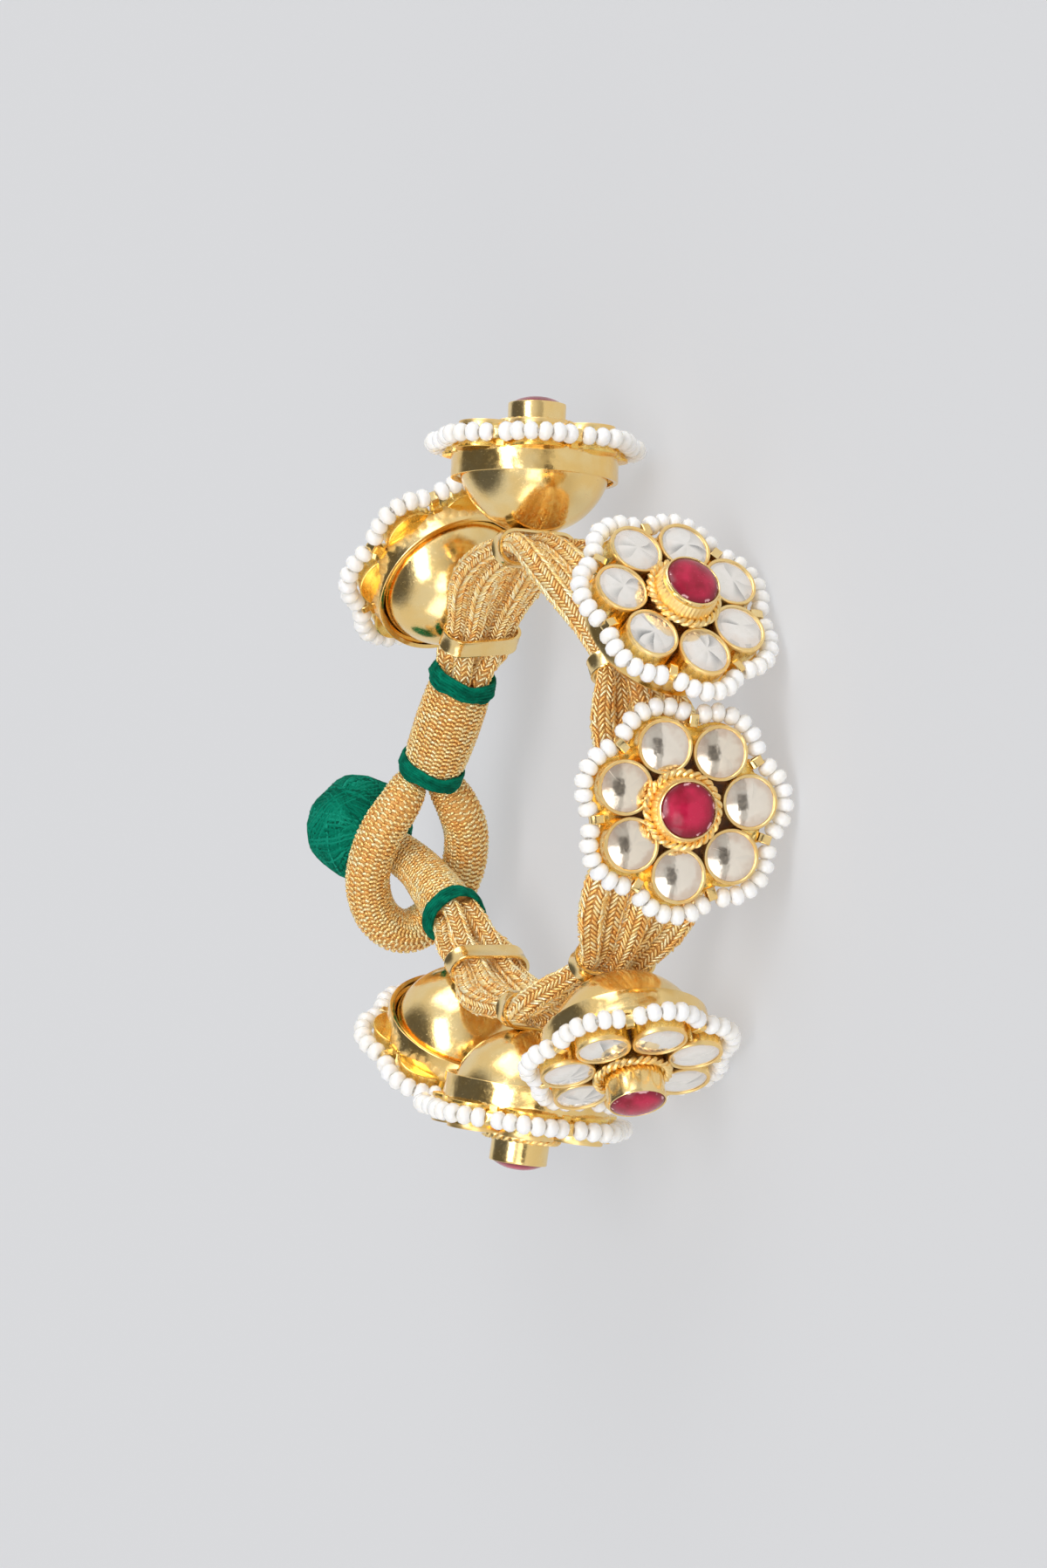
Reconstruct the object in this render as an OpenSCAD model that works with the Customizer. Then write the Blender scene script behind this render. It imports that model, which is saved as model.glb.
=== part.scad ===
// Kundan bracelet, lying on its side as a ring: seven flower heads on a band of five
// knitted cords, closed by a corded loop and a green thread ball. Millimetres, +Z up.
// The origin is the middle of the wrist opening, on the surface that the bracelet lies on.

/* [Wrist band] */
// Height of the middle of the band above the surface that it lies on
ring_mid = 14.98; // [14.98:0.01:16]
// Radius of a cord where it runs free between two crimps
cord_free_r = 1.65; // [1.4:0.05:1.65]
// Radius of a cord that a crimp squeezes
cord_crimped_r = 1.1; // [0.9:0.05:1.1]
// Radius of a cord that a thread wrap gathers in
cord_wrapped_r = 1.15; // [0.9:0.05:1.15]
// How straight the cords run from one crimp to the next
cord_tension = 0.8; // [0.6:0.05:1]

/* [Crimps] */
// Length of a crimp along the cords
crimp_length = 2.4; // [2:0.1:3]
// Width of a crimp inside, across the cords
crimp_inner_w = 10.1; // [10.1:0.1:11]
// Thickness of a crimp inside
crimp_inner_t = 3.9; // [3.9:0.1:4.4]
// Sheet that a crimp is made of
crimp_wall = 0.4; // [0.35:0.05:0.5]

/* [Flower heads] */
// Petals of a flower
petals = 7; // [7]
// Circle that the middles of the petals lie on, radius
petal_circle_r = 8.12; // [8.1:0.01:8.3]
// Outer radius of a petal's bezel
petal_bezel_r = 3.48; // [3.4:0.01:3.5]
// Inner radius of a petal's bezel
petal_seat_r = 3.2; // [3.1:0.01:3.2]
// Depth of the seat that a petal stone stands in
petal_seat_d = 1.2; // [0.8:0.1:1.6]
// Outer radius of the middle bezel
middle_bezel_r = 3.65; // [3.5:0.05:3.8]
// Height of the middle bezel above the petals
middle_bezel_h = 3.3; // [2.8:0.1:3.6]
// Inner radius of the middle bezel
middle_seat_r = 3.4; // [3.2:0.05:3.45]
// Depth of the seat that the ruby stands in
middle_seat_d = 1.3; // [1:0.1:2]
// Radius of the twisted wire round the foot of the middle bezel
rope_wire_r = 0.5; // [0.4:0.05:0.5]
// Radius of the circle that this wire lies on
rope_circle_r = 4.5; // [4.4:0.05:4.5]

/* [Cups] */
// Depth from the petal tops to the back plate's face
plate_depth = 3.1; // [3:0.1:3.2]
// Sheet that the plate is made of
plate_t = 0.4; // [0.3:0.05:0.5]
// Radius of the plate's round lobe under each petal
plate_lobe_r = 3.55; // [3.53:0.01:3.56]
// Radius of the rim band
rim_r = 10.5; // [10.3:0.1:10.6]
// Depth from the petal tops to the rim band's lower edge
rim_depth = 6.4; // [6:0.1:6.6]
// Depth from the petal tops to the lowest point of the dome
dome_depth = 13.13; // [13:0.01:13.2]
// Radius of the ball that the dome is a part of
dome_ball_r = 9.66; // [9.6:0.01:9.8]
// Sheet that the cup is made of
cup_wall = 0.5; // [0.4:0.05:0.6]

/* [Bead edging] */
// Radius of a seed bead
bead_r = 1.2; // [1.1:0.05:1.2]
// Length of a seed bead along its thread
bead_length = 1.6; // [1.5:0.05:1.6]
// Beads along one petal
beads_per_petal = 6; // [5:1:6]
// Distance from bead to bead along the thread
bead_pitch = 1.73; // [1.7:0.01:1.75]
// Depth from the petal tops to the thread
thread_depth = 2.22; // [2.2:0.01:2.3]
// Radius of the thread
thread_r = 0.2; // [0.15:0.05:0.25]
// Furthest reach of the thread, in the middle of a petal
thread_reach = 13.25; // [13.2:0.01:13.3]
// Nearest reach of the thread, in a notch between petals
thread_notch = 12.45; // [12.4:0.01:12.5]
// Half of the height of the small square loop that holds the thread in a notch
holder_r = 0.9; // [0.85:0.05:1]
// Radius of the hole through that loop
holder_hole_r = 0.45; // [0.4:0.05:0.5]
// Width of that loop along the thread
holder_w = 1.1; // [1:0.05:1.1]

/* [Stones] */
// Gap between a stone and its bezel
stone_gap = 0.05; // [0.03:0.01:0.08]
// Height of the crown of a petal stone above its bezel
petal_crown = 0.3; // [0.2:0.05:0.4]
// Height of the dome of a ruby above its bezel
ruby_crown = 0.6; // [0.4:0.05:0.8]

/* [Clasp] */
// Radius of the thread ball
ball_r = 6.7; // [6.4:0.1:6.7]
// Thickness of a thread wrap
wrap_t = 0.45; // [0.35:0.05:0.5]
// Radius of the loop's cord
loop_r = 2.8; // [2.6:0.1:2.8]

/* [Hidden] */
$fn = 48;

// The seven flower heads in their order along the band, from the loop's end to the
// ball's end. Degrees and millimetres.
// angle round the ring, reach of the petal tops, lift, turn, lean, spin of the petals,
// slide of the crimp along the cords, spread of the cords in the span that follows
FLOWERS = [
    [134.7, 44.4, -0.6, 2.3, 6.9, 30.4, 2.0, 0.60],
    [87.1, 43.8, -0.2, 3.1, -4.7, 2.4, -1.0, 0.85],
    [25.3, 45.0, -1.06, 4.9, -4.7, 32.6, 0.0, 0.80],
    [-9.45, 43.0, 0.2, 3.8, 10.0, 19.3, 0.0, 1.00],
    [-59.25, 44.2, -0.64, -7.1, 2.6, 48.4, 0.0, 0.85],
    [-93.15, 44.1, 3.0, -6.9, 6.4, 21.3, 0.0, 0.60],
    [-130.4, 44.3, -0.57, 0.7, 0.1, 5.4, 0.0, 0.00],
];
ANGLE = 0;
REACH = 1;
LIFT = 2;
TURN = 3;
LEAN = 4;
SPIN = 5;
SLIDE = 6;
SPREAD = 7;

// Where the five cords lie beside each other: across the band and outwards,
// first in a crimp and then in an open span
CORDS = [
    [[-3.85, 0.30], [-6.25, 0.50]],
    [[-1.80, -0.65], [-3.10, -0.65]],
    [[0.00, 0.75], [0.00, 0.65]],
    [[1.80, -0.65], [3.10, -0.65]],
    [[3.85, 0.30], [6.25, 0.50]],
];
// Angle of each of them in the round bundle that a wrap gathers, and that bundle's radius
BUNDLE_ANGLES = [162, 234, 90, 306, 18];
bundle_r = 2.15;
cord_sides = 8;
span_steps = 8;
gather_steps = 5;

// Middles of the three thread wraps, from the middle of the band
wrap_1_at = [-24.6, 14.9, -1.3];
wrap_2_at = [-33.4, 4.0, -0.4];
wrap_3_at = [-27.5, -15.3, -0.3];
wrap_1_w = 2.2;
wrap_2_w = 1.7;
wrap_3_w = 2.0;
wrap_1_r = 4.35;
wrap_2_r = 4.15;
wrap_3_r = 4.05;

// Outline of the knitted neck sheath: distance from wrap 1, radius
SHEATH = [
    [0.1, 3.70],
    [1.1, 3.80],
    [2.6, 4.10],
    [7.0, 4.20],
    [12.0, 4.00],
    [13.1, 3.60],
    [13.9, 3.60],
];

// One leg of the loop: x, y, half of the loop's width there, radius of the cord
LOOP_LEG = [
    [-33.58, 3.77, 1.78, 1.70],
    [-34.08, 3.15, 1.78, 1.70],
    [-34.80, 2.00, 2.55, 2.35],
    [-34.95, -0.50, 4.10, 2.70],
    [-36.30, -3.40, 5.80, loop_r],
    [-38.30, -6.70, 6.60, loop_r],
    [-40.60, -10.10, 6.30, loop_r],
    [-42.50, -13.30, 4.70, loop_r],
    [-43.40, -15.40, 2.40, loop_r],
    [-43.70, -16.10, 0.00, loop_r],
];
loop_mid = -0.4;
// Direction square to the loop's plane, away from the thread ball
LOOP_FACE = [0.885, -0.467, 0];

// The stem cord from wrap 3 through the loop: x, y, z, radius
STEM = [
    [-27.58, -15.25, -0.30, 3.30],
    [-29.00, -14.30, -0.30, 3.35],
    [-32.20, -12.10, -0.30, 3.25],
    [-37.20, -8.80, -0.20, 2.85],
    [-40.20, -6.90, 0.50, 2.70],
    [-42.86, -5.24, 1.64, 2.60],
];
ball_at = [-47.4, -2.4, 3.6];
BALL_TO_STEM = [0.797, -0.498, -0.343];
ball_seat_at = 5.6;
ball_seat_r = 2.75;

// The lobes stand a little proud of the plate and are thinner than it
lobe_t = 0.35;
lobe_lift = 0.1;
dome_centre = dome_ball_r - dome_depth;
solder_lap = 0.3;
crimp_outer_t = crimp_inner_t + 2 * crimp_wall;
crimp_outer_w = crimp_inner_w + 2 * crimp_wall;
crimp_depth = dome_depth - solder_lap + crimp_outer_t / 2;
crimp_clear = 0.2;

// The foot that joins a thread holder to the plate ends inside the holder's wall
holder_middle_r = (holder_r + holder_hole_r) / 2;
holder_foot_l = thread_notch - holder_middle_r - rim_r + cup_wall;
holder_foot_w = holder_w - 0.2;
holder_foot_h = plate_depth - thread_depth + plate_t;

// The thread runs round each petal on an arc: its middle and its radius, worked out from
// the thread's furthest and nearest reach
half_petal = 180 / petals;
notch_at = thread_notch * [cos(half_petal), sin(half_petal)];
arc_middle = (thread_notch ^ 2 - thread_reach ^ 2) / (2 * (notch_at.x - thread_reach));
arc_r = thread_reach - arc_middle;
arc_half = atan2(notch_at.y, notch_at.x - arc_middle);
bead_step = bead_pitch / arc_r * 180 / PI;

// Vectors and curves
function unit(v) = v / norm(v);
function blend(a, b, t) = a + (b - a) * t;
function curve_at(p0, d0, p1, d1, t) =
    (2 * t ^ 3 - 3 * t ^ 2 + 1) * p0 + (t ^ 3 - 2 * t ^ 2 + t) * d0
    + (3 * t ^ 2 - 2 * t ^ 3) * p1 + (t ^ 3 - t ^ 2) * d1;

// A flower's own directions: outwards, along the band and across it
function out_of(f) = [
    cos(f[LEAN]) * cos(f[ANGLE] + f[TURN]), cos(f[LEAN]) * sin(f[ANGLE] + f[TURN]), sin(f[LEAN])];
function along_of(f) = [-sin(f[ANGLE] + f[TURN]), cos(f[ANGLE] + f[TURN]), 0];
function across_of(f) = cross(out_of(f), along_of(f));
function crimp_at(f) =
    [f[REACH] * cos(f[ANGLE]), f[REACH] * sin(f[ANGLE]), f[LIFT]]
    + f[SLIDE] * along_of(f) - crimp_depth * out_of(f);

// A stop on the band: place, way of travel, direction across, openness, gathering
function crimp_stop(f, side) = [
    crimp_at(f) - side * (crimp_length / 2 + crimp_clear) * along_of(f),
    -along_of(f), across_of(f), 0, 0];
function wrap_stop(at, way) = [at, way, [0, 0, 1], 0, 1];

// Stops between two others, both ends counted; spread is how far the cords open out
function span(a, b, steps, spread) = [for (i = [0:steps])
    let (
        t = i / steps,
        pull = cord_tension * norm(b[0] - a[0]),
        way = unit(blend(a[1], b[1], t)),
        across = unit(blend(a[2], b[2], t)),
        out = unit(cross(across, way))
    )
    [curve_at(a[0], pull * a[1], b[0], pull * b[1], t), cross(way, out), out,
        spread * sin(180 * t) ^ 1.5, blend(a[4], b[4], (1 - cos(180 * t)) / 2)]];

neck_way = unit(wrap_2_at - wrap_1_at);
stem_way = unit([STEM[1].x, STEM[1].y, STEM[1].z] - wrap_3_at);
last_flower = len(FLOWERS) - 1;
band_stops = concat(
    span(wrap_stop(wrap_1_at - 0.1 * neck_way, -neck_way), crimp_stop(FLOWERS[0], -1),
        gather_steps, 0.25),
    [for (i = [0:last_flower - 1])
        each span(crimp_stop(FLOWERS[i], 1), crimp_stop(FLOWERS[i + 1], -1),
            span_steps, FLOWERS[i][SPREAD])],
    span(crimp_stop(FLOWERS[last_flower], 1), wrap_stop(wrap_3_at - 0.1 * stem_way, stem_way),
        gather_steps, 0.25)
);

// Cross-section of cord k at a stop, as a ring of points
function cord_ring(k, s) =
    let (
        bundle = bundle_r * [cos(BUNDLE_ANGLES[k]), sin(BUNDLE_ANGLES[k])],
        at = blend(blend(CORDS[k][0], CORDS[k][1], s[3]), bundle, s[4]),
        r = blend(blend(cord_crimped_r, cord_free_r, s[3]), cord_wrapped_r, s[4])
    )
    [for (j = [0:cord_sides - 1])
        let (a = 360 * (j + 0.5) / cord_sides)
        s[0] + (at.x + r * cos(a)) * s[1] + (at.y + r * sin(a)) * s[2]];

// A smooth row of places through a table's rows, its last column being the radius
function smooth_rows(rows, steps) = concat(
    [for (i = [0:len(rows) - 2], j = [0:steps - 1])
        let (
            before = rows[max(i - 1, 0)],
            after = rows[min(i + 2, len(rows) - 1)]
        )
        curve_at(rows[i], (rows[i + 1] - before) / 2, rows[i + 1], (after - rows[i]) / 2,
            j / steps)],
    [rows[len(rows) - 1]]);

// Rings of a round cord through such places; side is a direction square to the cord
function round_rings(rows, side, sides) = [for (i = [0:len(rows) - 1])
    let (
        a = rows[max(i - 1, 0)],
        b = rows[min(i + 1, len(rows) - 1)],
        way = unit([b[0] - a[0], b[1] - a[1], b[2] - a[2]]),
        u = unit(side - (side * way) * way),
        v = cross(u, way)
    )
    [for (j = [0:sides - 1])
        let (t = 360 * (j + 0.5) / sides)
        [rows[i][0], rows[i][1], rows[i][2]] + rows[i][3] * (cos(t) * u + sin(t) * v)]];

// A closed tube through rings of equally many points
module tube(rings) {
    n = len(rings[0]);
    last = len(rings) - 1;
    polyhedron(
        points = [for (ring = rings) each ring],
        faces = concat(
            [[for (j = [0:n - 1]) j]],
            [for (i = [0:last - 1], j = [0:n - 1])
                [i * n + j, (i + 1) * n + j, (i + 1) * n + (j + 1) % n, i * n + (j + 1) % n]],
            [[for (j = [n - 1:-1:0]) last * n + j]]
        )
    );
}

// Moves a flower built on the Z axis, petal tops at zero, to its place on the band
module place_flower(i) {
    f = FLOWERS[i];
    translate([0, 0, ring_mid])
        rotate([0, 0, f[ANGLE]])
            translate([f[REACH], 0, f[LIFT]])
                rotate([0, -f[LEAN], f[TURN]])
                    rotate([90, 0, 90])
                        children();
}

module on_petals(i) {
    for (k = [0:petals - 1])
        rotate([0, 0, FLOWERS[i][SPIN] + k * 2 * half_petal])
            children();
}

module petal_cup() {
    translate([petal_circle_r, 0, lobe_lift - plate_depth - lobe_t])
        cylinder(r = plate_lobe_r, h = lobe_t);
    translate([petal_circle_r, 0, -plate_depth - plate_t / 2])
        cylinder(r = petal_bezel_r, h = plate_depth + plate_t / 2);
}

// Small square loop in a notch, standing on the plate, that the thread passes through
module thread_holder() {
    rotate([0, 0, half_petal])
        difference() {
            union() {
                translate([thread_notch - holder_r, -holder_w / 2, -thread_depth - holder_r])
                    cube([2 * holder_r, holder_w, 2 * holder_r]);
                translate([rim_r - cup_wall, -holder_foot_w / 2, -plate_depth - plate_t / 2])
                    cube([holder_foot_l, holder_foot_w, holder_foot_h]);
            }
            translate([thread_notch, holder_w, -thread_depth])
                rotate([90, 0, 0])
                    cylinder(r = holder_hole_r, h = 2 * holder_w);
        }
}

// Hollow cup behind a flower: the back plate, the rim band and the dome
module cup() {
    band_h = rim_depth - plate_depth;
    difference() {
        union() {
            translate([0, 0, -rim_depth])
                cylinder(r = rim_r, h = band_h);
            intersection() {
                translate([0, 0, dome_centre])
                    sphere(r = dome_ball_r);
                translate([0, 0, -dome_depth - 1])
                    cylinder(r = rim_r, h = dome_depth - rim_depth + 1 + cup_wall / 2);
            }
        }
        translate([0, 0, -rim_depth + cup_wall])
            cylinder(r = rim_r - cup_wall, h = band_h - cup_wall - plate_t);
        intersection() {
            translate([0, 0, dome_centre])
                sphere(r = dome_ball_r - cup_wall);
            translate([0, 0, -dome_depth - 1])
                cylinder(r = rim_r, h = dome_depth - rim_depth + 1 + cup_wall * 1.2);
        }
    }
}

// Flat bar with round long edges, lying along X
module oval_bar(length, w, t) {
    translate([-length / 2, -(w - t) / 2, -t / 2])
        cube([length, w - t, t]);
    for (side = [-1, 1])
        translate([-length / 2, side * (w - t) / 2, 0])
            rotate([0, 90, 0])
                cylinder(d = t, h = length);
}

module crimp() {
    difference() {
        oval_bar(crimp_length, crimp_outer_w, crimp_outer_t);
        oval_bar(crimp_length + 2, crimp_inner_w, crimp_inner_t);
    }
}

// Middle bezel with its foot and the twisted wire round it
module middle_mount() {
    translate([0, 0, -plate_depth - plate_t / 2])
        cylinder(r = middle_bezel_r, h = plate_depth + plate_t / 2 + middle_bezel_h);
    translate([0, 0, -plate_depth - plate_t / 2])
        cylinder(r = rope_circle_r, h = plate_depth + plate_t / 2 + rope_wire_r);
    translate([0, 0, rope_wire_r + 0.05])
        rotate_extrude()
            translate([rope_circle_r, 0])
                circle(r = rope_wire_r);
}

module flower_setting(i) {
    f = FLOWERS[i];
    color("gold")
        place_flower(i)
            difference() {
                union() {
                    cup();
                    on_petals(i) {
                        petal_cup();
                        thread_holder();
                    }
                    middle_mount();
                    translate([f[SLIDE], 0, -crimp_depth])
                        crimp();
                }
                on_petals(i)
                    translate([petal_circle_r, 0, -petal_seat_d])
                        cylinder(r = petal_seat_r, h = petal_seat_d + 1);
                translate([0, 0, middle_bezel_h - middle_seat_d])
                    cylinder(r = middle_seat_r, h = middle_seat_d + 1);
            }
}

// Round stone with a low domed crown: radius, height to its bezel's edge, crown
module stone(r, h, crown) {
    ball_r = (r ^ 2 + crown ^ 2) / (2 * crown);
    intersection() {
        cylinder(r = r, h = h + crown + 1);
        translate([0, 0, h + crown - ball_r])
            sphere(r = ball_r);
    }
}

module petal_stones(i) {
    color([0.88, 0.88, 0.84])
        place_flower(i)
            on_petals(i)
                translate([petal_circle_r, 0, -petal_seat_d + stone_gap])
                    stone(petal_seat_r - stone_gap, petal_seat_d - stone_gap - 0.2,
                        petal_crown + 0.2);
}

module ruby(i) {
    color([0.70, 0.08, 0.26])
        place_flower(i)
            translate([0, 0, middle_bezel_h - middle_seat_d + stone_gap])
                stone(middle_seat_r - stone_gap, middle_seat_d - stone_gap, ruby_crown);
}

// Short round bead with its hole filled by the thread, lying along Z
module seed_bead() {
    edge_r = bead_length / 2;
    rotate_extrude()
        intersection() {
            union() {
                translate([bead_r - edge_r, 0])
                    circle(r = edge_r);
                translate([0, -edge_r])
                    square([bead_r - edge_r, bead_length]);
            }
            translate([0, -bead_length])
                square([bead_r + 1, 2 * bead_length]);
        }
}

module petal_thread() {
    rotate([0, 0, -arc_half])
        rotate_extrude(angle = 2 * arc_half)
            translate([arc_r, 0])
                circle(r = thread_r);
}

module bead_edging(i) {
    first = -(beads_per_petal - 1) / 2 * bead_step;
    color("white")
        place_flower(i)
            translate([0, 0, -thread_depth])
                on_petals(i)
                    translate([arc_middle, 0, 0]) {
                        petal_thread();
                        for (j = [0:beads_per_petal - 1])
                            rotate([0, 0, first + j * bead_step])
                                translate([arc_r, 0, 0])
                                    rotate([90, 0, 0])
                                        seed_bead();
                    }
}

module band_cord(k) {
    color([0.86, 0.68, 0.36])
        translate([0, 0, ring_mid])
            tube([for (s = band_stops) cord_ring(k, s)]);
}

// Turns the Z axis to a direction and moves it to a place on the band
module lay_along(at, way) {
    translate([0, 0, ring_mid])
        translate(at)
            rotate([0, acos(way.z), atan2(way.y, way.x)])
                children();
}

module neck_sheath() {
    color([0.80, 0.62, 0.32])
        lay_along(wrap_1_at, neck_way)
            rotate_extrude()
                polygon(concat([[0, SHEATH[0][0]]],
                    [for (row = SHEATH) [row[1], row[0]]],
                    [[0, SHEATH[len(SHEATH) - 1][0]]]));
}

module loop_cord() {
    last = len(LOOP_LEG) - 1;
    rows = concat(
        [for (row = LOOP_LEG) [row[0], row[1], loop_mid + row[2], row[3]]],
        [for (i = [last - 1:-1:0])
            [LOOP_LEG[i][0], LOOP_LEG[i][1], loop_mid - LOOP_LEG[i][2], LOOP_LEG[i][3]]]
    );
    color([0.80, 0.62, 0.32])
        translate([0, 0, ring_mid])
            tube(round_rings(smooth_rows(rows, 3), LOOP_FACE, 12));
}

module stem_cord() {
    color([0.80, 0.62, 0.32])
        translate([0, 0, ring_mid])
            tube(round_rings(smooth_rows(STEM, 2), [0, 0, 1], 12));
}

// Ball of wound thread with a flat seat for the end of the stem
module thread_ball() {
    color([0.0, 0.45, 0.32])
        difference() {
            lay_along(ball_at, BALL_TO_STEM)
                sphere(r = ball_r);
            lay_along(ball_at, BALL_TO_STEM)
                translate([0, 0, ball_seat_at])
                    cylinder(r = ball_seat_r, h = ball_r);
        }
}

module thread_wrap(at, way, r, w) {
    edge_r = wrap_t / 2;
    color([0.0, 0.45, 0.32])
        lay_along(at, way)
            rotate_extrude() {
                translate([r - wrap_t, -w / 2 + edge_r])
                    square([wrap_t, w - wrap_t]);
                for (side = [-1, 1])
                    translate([r - edge_r, side * (w / 2 - edge_r)])
                        circle(r = edge_r);
            }
}

for (i = [0:last_flower]) {
    flower_setting(i);
    petal_stones(i);
    ruby(i);
    bead_edging(i);
}
for (k = [0:len(CORDS) - 1])
    band_cord(k);
neck_sheath();
loop_cord();
stem_cord();
thread_ball();
thread_wrap(wrap_1_at, neck_way, wrap_1_r, wrap_1_w);  // thread_wrap_1
thread_wrap(wrap_2_at, neck_way, wrap_2_r, wrap_2_w);  // thread_wrap_2
thread_wrap(wrap_3_at, stem_way, wrap_3_r, wrap_3_w);  // thread_wrap_3
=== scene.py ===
# %% [markdown]
# # A kundan bracelet
# Seven flower heads of soldered gold sheet sit on a band of five knitted cords. Each flower has seven foil-backed
# stones round a ruby and an edging of white seed beads. A knitted loop and a ball of green thread close the band.
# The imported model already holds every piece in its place. This notebook gives each piece the shape and the finish
# that a jeweller would see, and never moves anything.

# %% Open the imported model
import math

import bpy
import numpy as np
from mathutils import Matrix, Vector


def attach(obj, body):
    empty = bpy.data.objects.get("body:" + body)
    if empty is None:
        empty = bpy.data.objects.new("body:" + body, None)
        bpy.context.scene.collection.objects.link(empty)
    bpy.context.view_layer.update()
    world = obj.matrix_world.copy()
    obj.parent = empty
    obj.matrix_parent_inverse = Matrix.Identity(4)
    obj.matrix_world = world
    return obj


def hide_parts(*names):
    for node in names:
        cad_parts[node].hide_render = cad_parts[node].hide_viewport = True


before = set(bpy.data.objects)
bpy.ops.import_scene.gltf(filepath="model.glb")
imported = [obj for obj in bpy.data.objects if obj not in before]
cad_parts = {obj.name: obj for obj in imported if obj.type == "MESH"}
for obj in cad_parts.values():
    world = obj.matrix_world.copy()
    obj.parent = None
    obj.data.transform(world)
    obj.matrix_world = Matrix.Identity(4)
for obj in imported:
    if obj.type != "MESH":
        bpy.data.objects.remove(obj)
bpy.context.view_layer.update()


# %% [markdown]
# ## Places
# The flowers and the route of the cords have the same numbers as the construction. Everything below is worked out in
# millimetres and becomes metres only when a mesh is made, because small round numbers are easier to read.

# %% The flowers' places
MM = 0.001
RING_MID = 14.98
PETALS = 7
PETAL_TURN = 360 / PETALS
# angle round the ring, reach, lift, turn, lean, spin of the petals, slide of the crimp, spread of the cords after it
FLOWERS = [
    (134.7, 44.4, -0.60, 2.3, 6.9, 30.4, 2.0, 0.60),
    (87.1, 43.8, -0.20, 3.1, -4.7, 2.4, -1.0, 0.85),
    (25.3, 45.0, -1.06, 4.9, -4.7, 32.6, 0.0, 0.80),
    (-9.45, 43.0, 0.20, 3.8, 10.0, 19.3, 0.0, 1.00),
    (-59.25, 44.2, -0.64, -7.1, 2.6, 48.4, 0.0, 0.85),
    (-93.15, 44.1, 3.00, -6.9, 6.4, 21.3, 0.0, 0.60),
    (-130.4, 44.3, -0.57, 0.7, 0.1, 5.4, 0.0, 0.00),
]
SPIN, SLIDE, SPREAD = 5, 6, 7


def turn(axis, degrees):
    return Matrix.Rotation(math.radians(degrees), 4, axis)


def flower_place(flower):
    """A flower is drawn with its face up and its petal tops at zero. This takes it to its place on the band."""
    angle, reach, lift, turned, lean = flower[:5]
    return (Matrix.Translation((0, 0, RING_MID)) @ turn("Z", angle) @ Matrix.Translation((reach, 0, lift))
            @ turn("Z", turned) @ turn("Y", -lean) @ turn("Z", 90) @ turn("X", 90))


PLACES = [flower_place(flower) for flower in FLOWERS]
print("flower middles in mm:", [tuple(round(x, 1) for x in place.translation) for place in PLACES])

# %% [markdown]
# ## Camera
# A product photo of a small thing is taken from far away with a long lens, so that near and far flowers come out the
# same size. The bracelet lies on its side here, so the camera stands above the floor and is rolled on its side.

# %% Camera
CAMERA_RIGHT = (0.4190, -0.0348, -0.9073)
CAMERA_UP = (0.0791, 0.9969, -0.0017)
CAMERA_BACK = (0.9045, -0.0710, 0.4205)
CAMERA_AT = (1.265445, -0.09992, 0.60547)
LENS_MM, SENSOR_MM, SIGHT_M = 256.65, 36.0, 20.0


def add_object(name, data):
    """Makes an object from a camera, a mesh or a curve, and links it into the scene."""
    made = bpy.data.objects.new(name, data)
    bpy.context.scene.collection.objects.link(made)
    return made


camera_data = bpy.data.cameras.new("camera")
camera_data.lens, camera_data.sensor_width, camera_data.clip_end = LENS_MM, SENSOR_MM, SIGHT_M
camera = add_object("camera", camera_data)
rotation = Matrix((CAMERA_RIGHT, CAMERA_UP, CAMERA_BACK)).transposed().to_4x4()
camera.matrix_world = Matrix.Translation(CAMERA_AT) @ rotation
bpy.context.scene.camera = camera
print("camera is", round(Vector(CAMERA_AT).length, 3), "m from the origin")

# %% [markdown]
# ## Node helper
# A material and a geometry tree are both graphs of nodes. One method adds any node: its settings are set first, then
# its sockets get values or links. A small class wraps an output socket, so that shader maths can be written as
# ordinary Python expressions. Each operator has a reflected form, for a plain number on its left.

# %% One method for every node


def operator(operation):
    """One Math node as a Python operator, and its reflected form."""
    def plain(self, other):
        return self.math(operation, other)

    def reflected(self, other):
        return self.graph.node("ShaderNodeMath", {"operation": operation}, {0: other, 1: self})

    return plain, reflected


class Signal:
    """An output socket that takes part in Python arithmetic."""
    __add__, __radd__ = operator("ADD")
    __sub__, __rsub__ = operator("SUBTRACT")
    __mul__, __rmul__ = operator("MULTIPLY")
    __truediv__, __rtruediv__ = operator("DIVIDE")
    __mod__, __rmod__ = operator("FLOORED_MODULO")

    def __init__(self, graph, socket):
        self.graph, self.socket = graph, socket

    def out(self, name):
        return Signal(self.graph, self.socket.node.outputs[name])

    def math(self, operation, *others):
        return self.graph.node("ShaderNodeMath", {"operation": operation}, dict(enumerate((self,) + others)))

    def vector(self, operation, *others, output="Vector"):
        inputs = dict(enumerate((self,) + others))
        return self.graph.node("ShaderNodeVectorMath", {"operation": operation}, inputs, output)

    def scale(self, factor):
        return self.graph.node("ShaderNodeVectorMath", {"operation": "SCALE"}, {0: self, "Scale": factor})


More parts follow.
